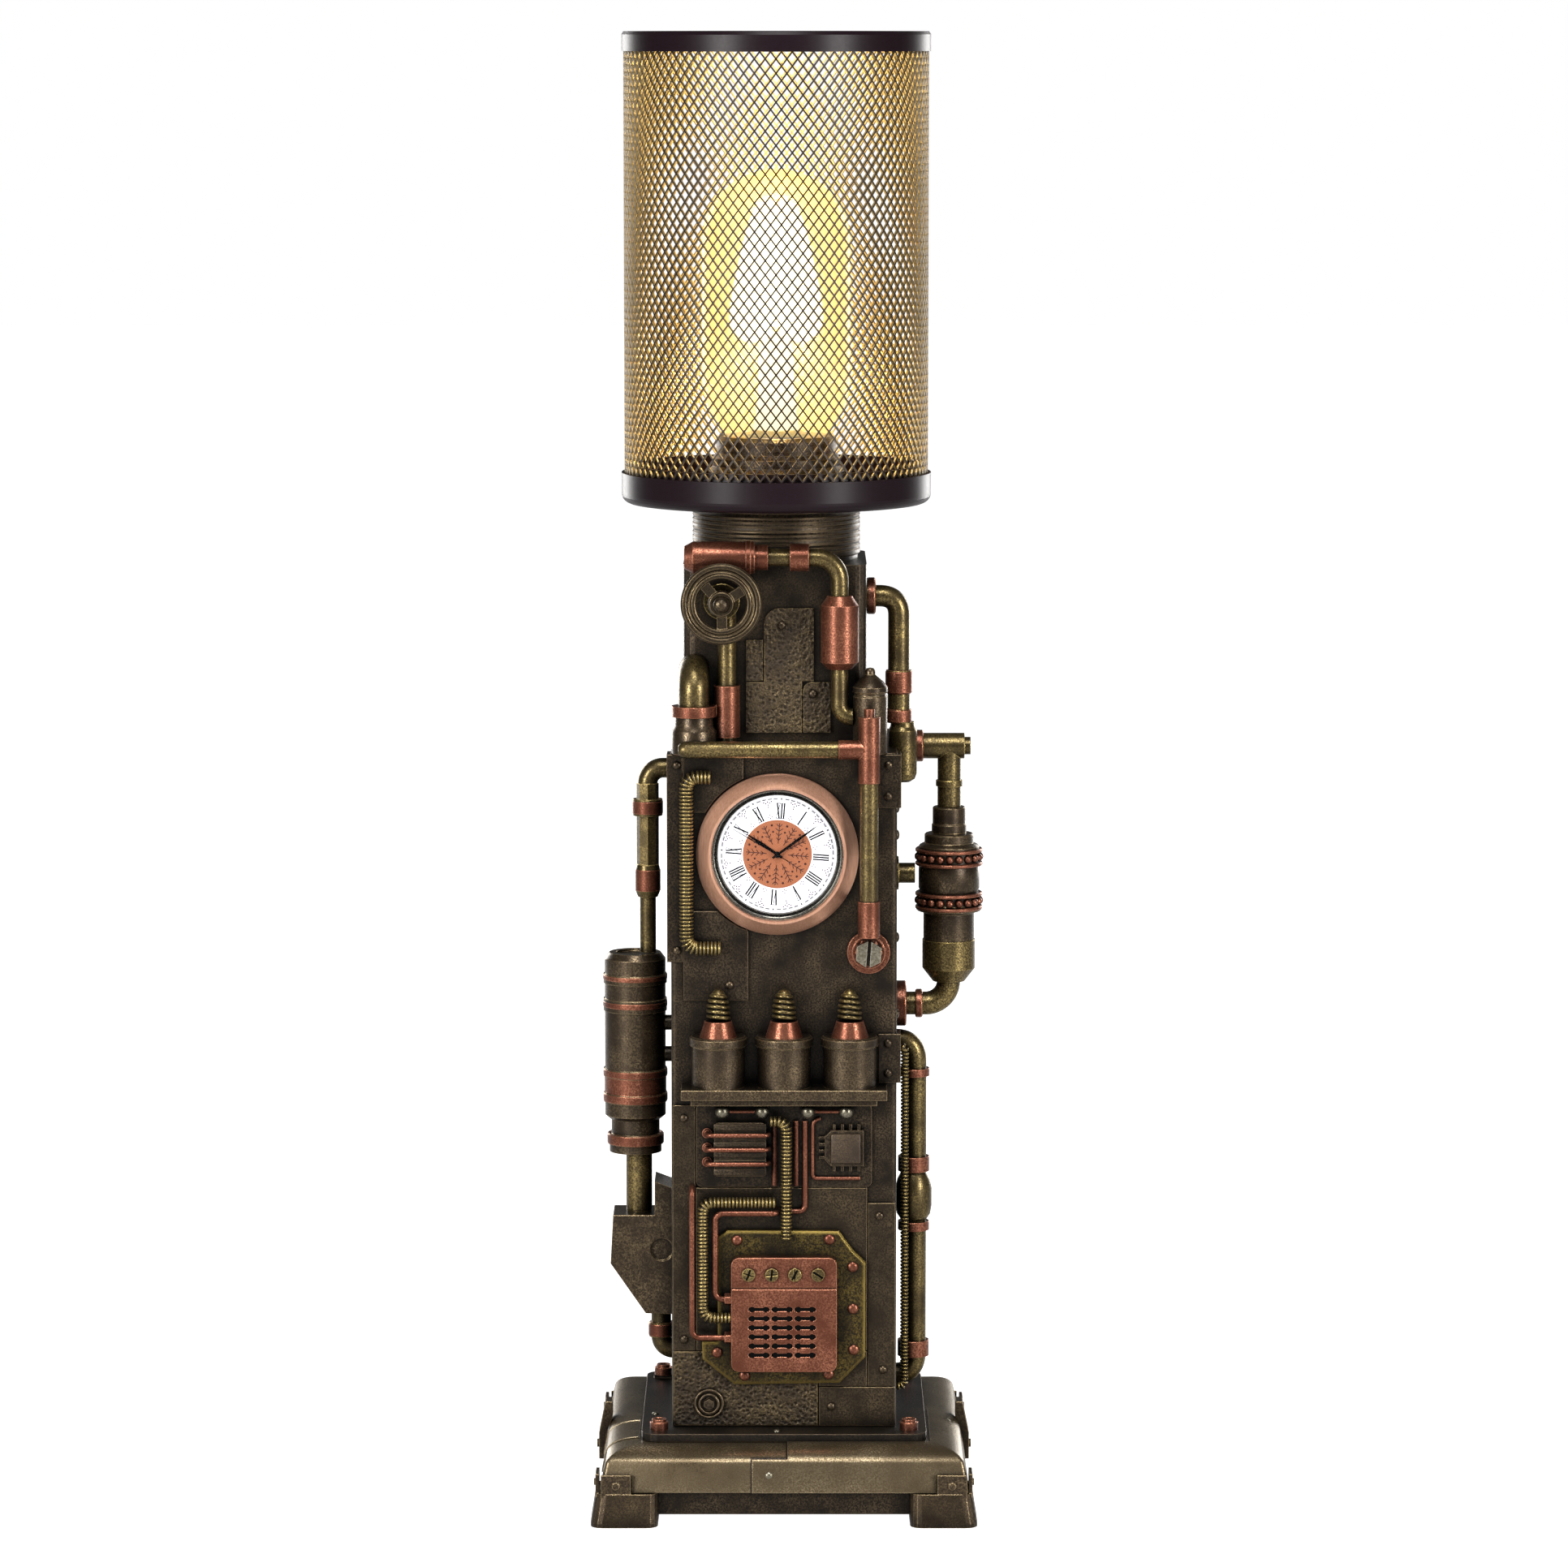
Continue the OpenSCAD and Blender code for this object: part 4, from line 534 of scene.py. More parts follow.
# Finish of a node, where it differs from its slot's
FINISH_OF_NODE = {
    "base_casting": "base_bronze",
    "corner_feet": "light_bronze",
    "base_clips": "light_bronze",
    "lower_plates": "plate_bronze",
    "left_cylinder": "light_bronze",
    "bracket_block": "light_bronze",
    "handwheel": "plate_bronze",
    "socket_plinth": "dark_bronze",
    "upper_plates": "hammered_bronze",
    "gasket_frame": "frame_bronze",
    "circuit_chip": "dark_bronze",
}
# Places that several operators share, in millimetres
CLOCK_PIPE_X = 21.7
UPPER_PIPE_X, UPPER_PIPE_Y, UPPER_PIPE_Z = 29.6, -12, 236.2
RIGHT_WALL_X = 29.0
ARM_Z = 195.9
LOWER_PIPE_Z = 128.1
SIDE_PIPE_R = 2.8
SKIRT_TOP_Z = 8.9
INLET_Z = 12.15
SEAM_Z = 17.1
SHEET_WALL = 0.3
TO_THE_FRONT = (0, -1, 0)
TO_THE_RIGHT = (1, 0, 0)


class LAMP_OT_metalwork(bpy.types.Operator):
    """Gives every carried-over solid its finish"""

    bl_idname = "lamp.metalwork"
    bl_label = "Metalwork"

    def execute(self, context):
        for part in FRAME["record"]["subparts"]:
            name, slot = part["node"], part["material_slot"]
            finish = FINISH_OF_NODE.get(name, FINISH_OF.get(slot, slot))
            slots = NODES[name].data.materials
            slots.clear()
            slots.append(MATERIALS[finish])
        return {"FINISHED"}


def ring_outline(radius, wall, low, high, soft=0.3):
    """Closed outline of a ring with its outer edges cut back, as (radius, height)."""
    rim = [(radius - wall, low), (radius - soft, low), (radius, low + soft), (radius, high - soft)]
    return rim + [(radius - soft, high), (radius - wall, high), rim[0]]


def bracket(start, reach, end, y, first_z, last_z):
    """Path that runs level from start to reach, then upright, then level again to end."""
    return [(start, y, first_z), (reach, y, first_z), (reach, y, last_z), (end, y, last_z)]


def spring_paths():
    """Axis points, radius and corner radius of each spring hose, in millimetres."""
    panel, _ = box_mm("circuit_panel")
    low, high = box_mm("grille_box")
    clock = middle("clock_bezel")
    hoses, _ = box_mm("spring_hoses")
    _, riser = box_mm("right_riser")
    shell, right = box_mm("tower_shell")
    front, left, wall = shell.y - 4.9, clock.x - 23.3, right.x + 0.1
    clock_hose = bracket(clock.x - 14.9, left, clock.x - 17.3, shell.y - 3.2, clock.z - 24.1, clock.z + 20.1)
    return [
        ([(0.6, front, high.z + 5), (0.6, front, panel.z + 17.8), (-3.4, front, panel.z + 17.8)], 1.5, 2.6),
        (bracket(-2.6, -20.9, low.x - 0.1, front, panel.z - 3.4, low.z + 13.9), 1.5, 2.8),
        (clock_hose, 1.9, 3.2),
        (bracket(wall, right.x + 2.5, wall, -6.5, hoses.z + 0.9, riser.z - 3.1), 1.15, 1.6),
    ]


class LAMP_OT_hoses(bpy.types.Operator):
    """Winds the spring hoses ring by ring"""

    bl_idname = "lamp.hoses"
    bl_label = "Spring hoses"

    def execute(self, context):
        rings = bmesh.new()
        core = bmesh.new()
        for points, radius, turn in spring_paths():
            spring(rings, core, [Vector(p) for p in points], radius, context.scene.lamp_sizes.hose_pitch, turn)
        piece("hose_springs", rings, "aged_brass", ["spring_hoses"], smooth=60)
        piece("hose_cores", core, "black_iron")
        return {"FINISHED"}


class LAMP_OT_coils(bpy.types.Operator):
    """Winds the three coils on the canisters"""

    bl_idname = "lamp.coils"
    bl_label = "Canister coils"

    def execute(self, context):
        low, high = box_mm("canister_coils")
        cones, _ = box_mm("canister_cones")
        lean = Vector((0, math.sin(math.radians(8)), math.cos(math.radians(8))))
        wires = bmesh.new()
        cores = bmesh.new()
        for x in (low.x + 3.3, (low.x + high.x) / 2, high.x - 3.3):
            foot = Vector((x, cones.y + 4.8, low.z + 0.4))
            rod(cores, foot * MM, (foot + lean * 6.8) * MM, 2.0, sides=20, top=1.3)
            for turn, radius in enumerate((2.75, 2.75, 2.65, 2.4, 1.9)):
                place = foot + lean * (0.5 + turn * 1.32)
                loop_of_wire(wires, place * MM, lean + Vector((0.1, 0.0, 0.0)), radius - 0.1, 0.56, 28, 8)
            bmesh.ops.create_uvsphere(
                wires, u_segments=20, v_segments=10, radius=1.8 * MM,
                matrix=Matrix.Translation((foot + lean * 6.0) * MM),
            )
        piece("coil_windings", wires, "aged_brass", ["canister_coils"], smooth=60)
        piece("coil_cores", cores, "black_iron")
        return {"FINISHED"}


class LAMP_OT_valve(bpy.types.Operator):
    """Turns the valve barrel and its two collars of copper beads"""

    bl_idname = "lamp.valve"
    bl_label = "Valve"

    def execute(self, context):
        axis = middle("valve_body")
        axis.z = box_mm("valve_body")[1].z
        outline = [
            (0, 0), (4.0, 0), (4.3, 0.3), (4.3, 4.4), (4.55, 4.7), (4.55, 6.6), (4.3, 6.8), (6.1, 7.0), (6.4, 7.3),
            (6.4, 9.4), (7.6, 10.0), (7.9, 10.4), (7.9, 16.2), (7.95, 16.4), (7.95, 21.3), (7.7, 21.8), (7.7, 25.6),
            (8.5, 25.9), (8.5, 27.0), (8.2, 27.3), (6.9, 27.5), (6.65, 27.8), (6.65, 34.9), (0, 34.9),
        ]
        down = (0, 0, -1)
        turned_piece(
            "valve_barrel", outline, axis * MM, "light_bronze", down, 64, slot="aged_brass", stands_for=["valve_body"]
        )
        form = bmesh.new()
        beads = 20
        for deep in (13.1, 24.6):
            for side in (-1, 1):
                mid = deep + side * 1.75
                ring = [(7.6, mid - 0.5), (8.5, mid - 0.5), (8.8, mid - 0.25), (8.8, mid + 0.25), (8.5, mid + 0.5)]
                turned(form, ring + [(7.6, mid + 0.5), ring[0]], axis * MM, down, 64)
            for bead in range(beads):
                angle = math.tau * bead / beads
                place = axis + Vector((7.9 * math.cos(angle), 7.9 * math.sin(angle), -deep))
                place = Matrix.Translation(place * MM)
                bmesh.ops.create_icosphere(form, subdivisions=2, radius=1.15 * MM, matrix=place)
        piece("valve_collars", form, "aged_copper", slot="copper")
        return {"FINISHED"}


class LAMP_OT_pipes(bpy.types.Operator):
    """Bends the smooth pipes beside the clock, on the right side and above the valve"""

    bl_idname = "lamp.pipes"
    bl_label = "Pipes"

    def execute(self, context):
        low, high = box_mm("right_riser")
        x = low.x + 5.5
        form = bmesh.new()
        pipe(form, bracket(low.x, x, low.x, 0, high.z - 2.4, low.z + 2.4), SIDE_PIPE_R, 5.4)
        swell = [(2.6, 0), (3.3, 0.2), (4.4, 1.9), (4.75, 4), (4.75, 8.6), (4.3, 11), (3.3, 13), (2.6, 13.2)]
        turned(form, swell, point(x - 0.5, 0, low.z + 43.5), steps=40)
        piece("riser_pipe", form, "aged_brass", ["right_riser"])
        clock = middle("clock_bezel")
        fittings, top = box_mm("pipe_fittings")
        low, high = box_mm("clock_pipes")
        x, y = CLOCK_PIPE_X, (low.y + high.y) / 2
        form = bmesh.new()
        pipe(form, [(x, y, clock.z - 12.5), (x, y, clock.z + 20.5)], 2.4, 1.0)
        reach = fittings.x - low.x + 1.5
        nose = [(0, 0), (1.2, 0.15), (1.8, 0.7), (2.15, 1.8), (2.15, reach), (0, reach)]
        turned(form, nose, point(low.x, y, top.z - 10.5), TO_THE_RIGHT, 32)
        piece("clock_side_pipes", form, "aged_brass", ["clock_pipes"])
        x, y, z = UPPER_PIPE_X, UPPER_PIPE_Y, UPPER_PIPE_Z
        form = bmesh.new()
        pipe(form, [(x - 8.2, y, z), (x, y, z), (x, y, z - 30.2)], SIDE_PIPE_R, 5.0)
        piece("upper_side_pipe", form, "aged_brass")
        return {"FINISHED"}


class LAMP_OT_sleeves(bpy.types.Operator):
    """Adds the copper and bronze rings that sit on the side pipes and the large cylinder"""

    bl_idname = "lamp.sleeves"
    bl_label = "Pipe sleeves"

    def execute(self, context):
        form = bmesh.new()

        def band(x, low, high, radius, soft=0.3, y=0):
            """Ring round an upright axis."""
            turned(form, ring_outline(radius, 0.8, low, high, soft), point(x, y, 0))

        def collar(z, start, end, radius):
            """Ring round a level axis that runs to the right from the wall."""
            turned(form, ring_outline(radius, 1.2, start, end), point(RIGHT_WALL_X, 0, z), TO_THE_RIGHT, 40)

        tank, tank_top = box_mm("left_cylinder")
        top = tank_top.z
        tank_x = tank.x + 8.3
        for low, high in ((5.6, 7.2), (12.6, 14.4), (30.6, 32.7), (37.0, 39.4)):
            band(tank_x, top - high, top - low, 8.42)
        band(tank_x, top - 37.0, top - 32.7, 8.08, 0.1)
        band(tank_x, top - 50.7, top - 47.8, 7.42)
        left_x = box_mm("left_pipe")[0].x + 3.9
        band(left_x, top + 36.0, top + 40.3, 4.0, 0.6)
        band(left_x, top + 15.8, top + 22.2, 3.3, 0.5)
        low, high = box_mm("left_drain")
        band(low.x + 3.2, high.z - 7.4, high.z - 3.4, 3.35, 0.5)
        band(UPPER_PIPE_X, UPPER_PIPE_Z - 25.3, UPPER_PIPE_Z - 19.1, 3.5, 0.5, UPPER_PIPE_Y)
        band(UPPER_PIPE_X, UPPER_PIPE_Z - 32.8, UPPER_PIPE_Z - 29.2, 3.4, 0.4, UPPER_PIPE_Y)
        collar(ARM_Z, 4.7, 7.2, 4.15)
        collar(LOWER_PIPE_Z, 5.3, 7.2, 3.75)
        collar(LOWER_PIPE_Z, 0.1, 2.95, 5.95)
        piece("copper_sleeves", form, "aged_copper", slot="copper")
        rim = [(3.2, 0.1), (4.4, 0.1), (4.75, 0.5), (4.75, 2.0), (4.3, 2.4), (3.2, 2.4), (3.2, 0.1)]
        wall = point(UPPER_PIPE_X - 8.4, UPPER_PIPE_Y, UPPER_PIPE_Z)
        turned_piece("elbow_flange", rim, wall, "aged_copper", TO_THE_RIGHT, 40, slot="copper")
        form = bmesh.new()
        band(tank_x + 0.9, 73.2, top - 52.8, 3.4, 0.05)
        piece("cylinder_rod", form, "aged_brass")
        return {"FINISHED"}


def base_shell(form, high, grow, closed=False):
    """Mitred shell of the base with a rolled shoulder; grow makes it proud of the casting by that much."""
    half = high.x - 0.35 + grow
    profile = [(0.0, 8.7), (0.25, 11.5), (0.9, 14.6), (1.15, 15.6)]
    for angle in range(9, 91, 9):
        a = math.radians(angle)
        profile.append((9.75 - 8.6 * math.cos(a), 15.6 + (3.9 + grow) * math.sin(a)))
    made = bmesh.ops.create_grid(
        form, x_segments=1, y_segments=1, size=half * MM, matrix=Matrix.Translation(point(0, 0, profile[0][1]))
    )["verts"]
    bmesh.ops.bevel(form, geom=made, offset=0.9 * MM, segments=3, profile=0.5, affect="VERTICES", material=-1)
    ring = form.edges[:]
    if not closed:
        bmesh.ops.delete(form, geom=form.faces[:], context="FACES_ONLY")
    for (before, below), (inset, height) in zip(profile, profile[1:]):
        made = bmesh.ops.extrude_edge_only(form, edges=ring)["geom"]
        verts = [v for v in made if isinstance(v, bmesh.types.BMVert)]
        ring = [e for e in made if isinstance(e, bmesh.types.BMEdge) and all(v in verts for v in e.verts)]
        ratio = (half - inset) / (half - before)
        bmesh.ops.scale(form, verts=verts, vec=(ratio, ratio, 1))
        bmesh.ops.translate(form, verts=verts, vec=(0, 0, (height - below) * MM))
    if closed:
        bmesh.ops.contextual_create(form, geom=ring)


class LAMP_OT_base(bpy.types.Operator):
    """Models the base casting with its lapped plate, left strap, skirt and small rivets"""

    bl_idname = "lamp.base"
    bl_label = "Base"

    def execute(self, context):
        low, high = box_mm("base_casting")
        form = bmesh.new()
        base_shell(form, high, 0.0, closed=True)
        rod(form, point(0, 40, INLET_Z), point(0, high.y, INLET_Z), 6.5, sides=40)
        piece("base_shell", form, "base_bronze", ["base_casting"], slot="dark_bronze", smooth=40)
        form = bmesh.new()
        # The recessed skirt is darker bronze than the shell above: painted shade under the casting's overhang
        block(form, point(0, 0, (low.z + SKIRT_TOP_Z) / 2), (88.0, 88.0, SKIRT_TOP_Z - low.z))
        piece("base_skirt", form, "dark_bronze")
        for name, finish, slot, grow, more in (
            ("base_lap", "base_bronze", "dark_bronze", 0.42, 0.0),
            # A black strip a little wider than the lap: painted shadow under the lap's edge
            ("base_lap_shadow_strip", "black_iron", "black_iron", 0.1, 0.4),
        ):
            form = bmesh.new()
            for edge, side in ((0.9, 1), (-8.2, -1)):
                half = bmesh.new()
                base_shell(half, high, grow)
                keep(half, (edge - more, 0, 0), (1, 0, 0))
                keep(half, (0, 0, SEAM_Z + more * (1 - side) / 2), (0, 0, side))
                keep(half, (0, 0, 0), (0, -1, 0))
                stamp(form, half)
            bmesh.ops.remove_doubles(form, verts=form.verts, dist=0.001 * MM)
            thicken(form)
            piece(name, form, finish, slot=slot, smooth=40)
        form = bmesh.new()
        for start, end, grow in ((-32.0, -12.0, 0.12), (-32.0, -30.8, 0.34), (-13.2, -12.0, 0.34)):
            strap = bmesh.new()
            base_shell(strap, high, grow)
            keep(strap, (-34, 0, 0), (-1, 0, 0))
            keep(strap, (0, 0, 10.5), (0, 0, 1))
            keep(strap, (0, start, 0), (0, 1, 0))
            keep(strap, (0, end, 0), (0, -1, 0))
            thicken(strap)
            stamp(form, strap)
        piece("base_straps", form, "base_bronze", slot="dark_bronze", smooth=40)
        plate, plate_top = box_mm("base_top_plate")
        form = bmesh.new()
        dome = [(1.25, 0), (1.25, 0.2), (1.1, 0.55), (0.75, 0.85), (0.4, 0.95), (0, 1.0)]
        turned(form, dome, point(-3.9, -46.1, 13.0), (0, -1, 0.1), 20)
        small = [(r * 0.7, h * 0.6) for r, h in dome]
        turned(form, small, point(-1.9, plate.y + 3.2, plate_top.z - 0.9), steps=16)
        turned(form, small, point(-33.6, -14, plate_top.z - 0.9), steps=16)
        turned(form, dome, point(42.6, -9.5, 18.4), (0.55, 0, 0.84), 20)
        piece("base_rivets", form, "dull_steel")
        return {"FINISHED"}


class LAMP_OT_neck(bpy.types.Operator):
    """Turns the ribbed neck, the small canister with its cap and the bronze bell under the large elbow"""

    bl_idname = "lamp.neck"
    bl_label = "Neck, small canister and bell"

    def execute(self, context):
        low, high = box_mm("neck_drum")
        r = (high.x - low.x) / 2
        tall = high.z - low.z
        outline = [(0, 0), (r - 1.6, 0), (r - 1.6, 1.2), (r - 1.0, 1.6)]
        for i in range(9):
            h = 1.9 + i * 1.12
            outline += [(r - 1.0 - 0.12 * (i % 3), h), (r - 1.0, h + 0.7), (r - 1.35, h + 0.95)]
        outline += [(r - 0.5, tall - 2.0), (r, tall - 1.3), (r, tall), (0, tall)]
        foot = point((low.x + high.x) / 2, 0, low.z)
        turned_piece("neck_rings", outline, foot, "dark_bronze", steps=96, stands_for=["neck_drum"])
        low, _ = box_mm("upper_canister")
        centre = middle("upper_canister")
        outline = [
            (0, 0), (4.4, 0), (4.4, 14.6), (4.15, 14.9), (4.15, 15.5), (4.5, 15.8), (4.5, 17.0), (4.2, 17.4),
            (3.4, 18.4), (1.7, 19.8), (1.3, 20.2), (1.3, 21.2), (0.9, 21.8), (0, 22.0),
        ]
        foot = point(centre.x, centre.y, low.z)
        turned_piece("canister_with_cap", outline, foot, "light_bronze", stands_for=["upper_canister"])
        low, _ = box_mm("upper_fittings")
        bell = [(5.0, 0), (5.72, 0.1), (5.8, 1.2), (5.72, 5.6), (5.5, 6.3), (5.0, 7.2), (4.9, 9.6), (4.4, 9.6)]
        foot = point(low.x + 5.7, -27.8, low.z)
        turned_piece("elbow_bell", bell + [bell[0]], foot, "light_bronze")
        return {"FINISHED"}


class LAMP_OT_rivets(bpy.types.Operator):
    """Domes the rivets: copper on the gasket frame, bronze on the plates"""

    bl_idname = "lamp.rivets"
    bl_label = "Rivets"

    def execute(self, context):
        frame, _ = box_mm("gasket_frame")
        copper = bmesh.new()
        bronze = bmesh.new()
        for low, high in solids_of("plate_rivets"):
            mid = (low + high) / 2
            size = high - low
            if size.x < size.y:
                base, axis, radius, rise = point(low.x, mid.y, mid.z), (1, 0, 0), size.y / 2, size.x
            else:
                base, axis, radius, rise = point(mid.x, high.y, mid.z), (0, -1, 0), size.x / 2, size.y
            on_frame = high.y < frame.y + 0.1
            radius *= 1.08 if on_frame else 1.0
            steps = [math.radians(a) for a in range(0, 91, 15)]
            dome = [(radius, 0)] + [(radius * math.cos(a), 0.15 + (rise - 0.15) * math.sin(a)) for a in steps]
            turned(copper if on_frame else bronze, dome, base, axis, 20)
        piece("frame_rivets", copper, "aged_copper", ["plate_rivets"], slot="copper")
        piece("bronze_rivets", bronze, "light_bronze")
        return {"FINISHED"}


class LAMP_OT_fasteners(bpy.types.Operator):
    """Adds the porthole rings, the slotted steel bolt with painted shade in its slot, painted shade for the grille's
    slots and the screw slots, and the panel's ribs
    """

    bl_idname = "lamp.fasteners"
    bl_label = "Fasteners and panel parts"

    def execute(self, context):
        low, high = box_mm("porthole_bolt")
        centre = point((low.x + high.x) / 2, high.y, (low.z + high.z) / 2)
        form = bmesh.new()
        rings = [
            (3.95, 0), (3.95, 0.9), (3.75, 1.2), (3.4, 1.2), (3.2, 0.9), (3.2, 0.35), (2.85, 0.35), (2.8, 1.3),
            (2.6, 1.5), (2.25, 1.5), (2.1, 1.2), (2.1, 0.4), (0, 0.4),
        ]
        turned(form, rings, centre, TO_THE_FRONT)
        rod(form, centre, centre + point(0, -2.0, 0), 1.45, sides=6)
        piece("porthole_rings", form, "dark_bronze", ["porthole_bolt"])

        bolt = Vector((CLOCK_PIPE_X, -31.4, middle("clock_bezel").z - 25.4))
        form = bmesh.new()
        for side in (-1, 1):
            half = bmesh.new()
            rod(half, (bolt + Vector((0, 2.2, 0))) * MM, (bolt + Vector((0, -0.75, 0))) * MM, 3.62, sides=6)
            keep(half, bolt + Vector((side * 0.45, 0, 0)), (side, 0, 0))
            bmesh.ops.holes_fill(half, edges=half.edges, sides=12)
            stamp(form, half)
        bmesh.ops.rotate(form, verts=form.verts, cent=bolt * MM, matrix=Matrix.Rotation(math.radians(4), 3, "Y"))
        piece("bolt_head", form, "dull_steel")
        form = bmesh.new()
        # A black sheet inside the bolt head's slot: painted shade in the slot
        block(form, (bolt + Vector((0, -0.12, 0))) * MM, (1.0, 0.1, 6.0))
        piece("bolt_slot_shade", form, "black_iron")

        low, high = box_mm("grille_box")
        form = bmesh.new()
        # Black dumbbells on the box's face: painted shade of the grille's slots
        for column in (-1, 0, 1):
            for row in range(6):
                place = point(column * 5.95 - 0.5, low.y + 0.06, low.z + 4.4 + row * 2.4)
                block(form, place, (4.3, 0.1, 1.1))
                for end in (-1, 1):
                    tip = place + point(end * 1.75, 0, 0)
                    rod(form, tip + point(0, 0.05, 0), tip - point(0, 0.09, 0), 0.75, sides=12)
        piece("grille_slot_shade", form, "dial_ink", slot="black_iron")
        form = bmesh.new()
        # Thin black bars on the screw heads: painted shade of their slots
        for (near, far), lean in zip(solids_of("box_screws"), (20, -55, 8, 28)):
            place = point((near.x + far.x) / 2, near.y, (near.z + far.z) / 2)
            block(form, place, (0.5, 0.1, 2.9), Matrix.Rotation(math.radians(lean), 4, "Y"))
        piece("screw_slot_shade", form, "dial_ink", slot="black_iron")

        low, high = box_mm("coil_block")
        form = bmesh.new()
        count = 6
        tall = (high.z - low.z) / count
        for row in range(count):
            place = point((low.x + high.x) / 2, low.y + 0.6, low.z + (row + 0.5) * tall)
            block(form, place, (high.x - low.x + 0.3, 2.0, tall - 0.55))
        soften(form, 0.25)
        piece("coil_ribs", form, "dark_bronze")

        low, high = box_mm("lower_plates")
        form = bmesh.new()
        block(form, point(-10.0, low.y - 0.06, low.z + 9.8), (37.2, 0.12, 19.2))
        piece("hammered_plate", form, "hammered_bronze", slot="light_bronze")

        low, high = box_mm("circuit_chip")
        form = bmesh.new()
        block(form, point(15.9, low.y - 0.2, (low.z + high.z) / 2), (7.6, 0.8, 7.6))
        soften(form, 0.35)
        piece("chip_cap", form, "chip_bronze", slot="black_iron")
        return {"FINISHED"}


class LAMP_OT_shade(bpy.types.Operator):
    """Builds the expanded metal mesh of the shade"""

    bl_idname = "lamp.shade"
    bl_label = "Mesh shade"

    def execute(self, context):
        sizes = context.scene.lamp_sizes
        low, high = box_mm("shade_mesh")
        centre = (low + high) / 2
        radius = (high.x - low.x) / 2 - 0.3
        wide = math.tau * radius / sizes.mesh_columns
        tall = (high.z - low.z) / sizes.mesh_rows
        lean = math.atan2(wide, tall)
        form = bmesh.new()
        for row in range(sizes.mesh_rows):
            place = point(centre.x, centre.y - radius, low.z + (row + 0.5) * tall)
            for side in (-1, 1):
                turn = Matrix.Rotation(side * lean, 4, "Y")
                block(form, place, (sizes.strand, 0.55, math.hypot(wide, tall) + 0.2), turn)
        copies = sizes.mesh_columns - 1
        bmesh.ops.spin(
            form, geom=form.verts[:] + form.edges[:] + form.faces[:], cent=point(centre.x, centre.y, 0),
            axis=(0, 0, 1), angle=math.tau * copies / sizes.mesh_columns, steps=copies, use_duplicate=True,
        )
        piece("shade_lattice", form, "mesh_bronze_and_painted_glow", ["shade_mesh"], "shade", "gilt_mesh", 20)
        return {"FINISHED"}


def bulb_outline(radius, top, neck, foot):
    """Round top over straight sides that draw in near the foot, as (radius, height)."""
    mid = top - radius
    lower = [(neck, foot)]
    for i in range(1, 11):
        lower.append((neck + (radius - neck) * math.sin(math.pi * i / 20) ** 0.9, foot + 1.5 * i))
    upper = [
        (radius * math.cos(math.radians(a)), mid + radius * math.sin(math.radians(a))) for a in range(0, 90, 6)
    ]
    return lower + upper + [(0.0, top)]


class LAMP_OT_bulb(bpy.types.Operator):
    """Builds the amber bulb, its stem and its lit filaments"""

    bl_idname = "lamp.bulb"
    bl_label = "Bulb"

    def execute(self, context):
        low, high = box_mm("bulb_glass")
        centre = (low + high) / 2
        radius = (high.x - low.x) / 2
        wall = 0.8
        tall = high.z - low.z
        neck = 13.6
        outer = bulb_outline(radius, tall, neck, 0.0)
        inner = bulb_outline(radius - wall, tall - wall, neck - wall, 0.0)
        foot = point(centre.x, centre.y, low.z)
        glass = {"body": "bulb", "slot": "amber_glass", "stands_for": ["bulb_glass"]}
        turned_piece("bulb_envelope", outer + inner[::-1], foot, "amber_bulb_glass", steps=72, **glass)
        stem = [(0, 0), (6, 0), (5.4, 3), (4.6, 12), (4.8, 18), (3.6, 23), (1.2, 25), (0, 25)]
        foot = point(centre.x, centre.y, low.z + 1.2)
        glass = {"body": "bulb", "slot": "lit_filament", "stands_for": ["bulb_stem"]}
        turned_piece("bulb_stem_glass", stem, foot, "stem_glass_painted_glow", steps=32, **glass)
        form = bmesh.new()
        halos = bmesh.new()
        for k in range(4):
            angle = math.radians(45 + 90 * k)
            way = Vector((math.cos(angle), math.sin(angle), 0))
            foot = centre + way * 9.5
            head = centre + way * 3.5
            foot.z = low.z + 26
            head.z = low.z + 58
            rod(form, foot * MM, head * MM, 0.9, sides=16)
            span = (head - foot).length + 6
            lean = (head - foot).normalized()
            halo = [(0, 0)]
            for i in range(1, 16):
                t = i / 16
                halo.append((7.2 * (1 - (2 * t - 1) ** 4) ** 0.5 * (1 - 0.45 * t), span * t))
            turned(halos, halo + [(0, span)], (foot - lean * 3) * MM, lean, 24)
        piece("bulb_filaments", form, "lit_filament", body="bulb")
        piece("filament_halos", halos, "filament_glow", body="bulb", slot="lit_filament")
        return {"FINISHED"}


NUMERALS = ["XII", "I", "II", "III", "IIII", "V", "VI", "VII", "VIII", "IX", "X", "XI"]
STROKE_WIDTH = {"I": 0.5, "V": 1.0, "X": 1.05}
LETTER_GAP, THICK, THIN = 0.12, 0.36, 0.14


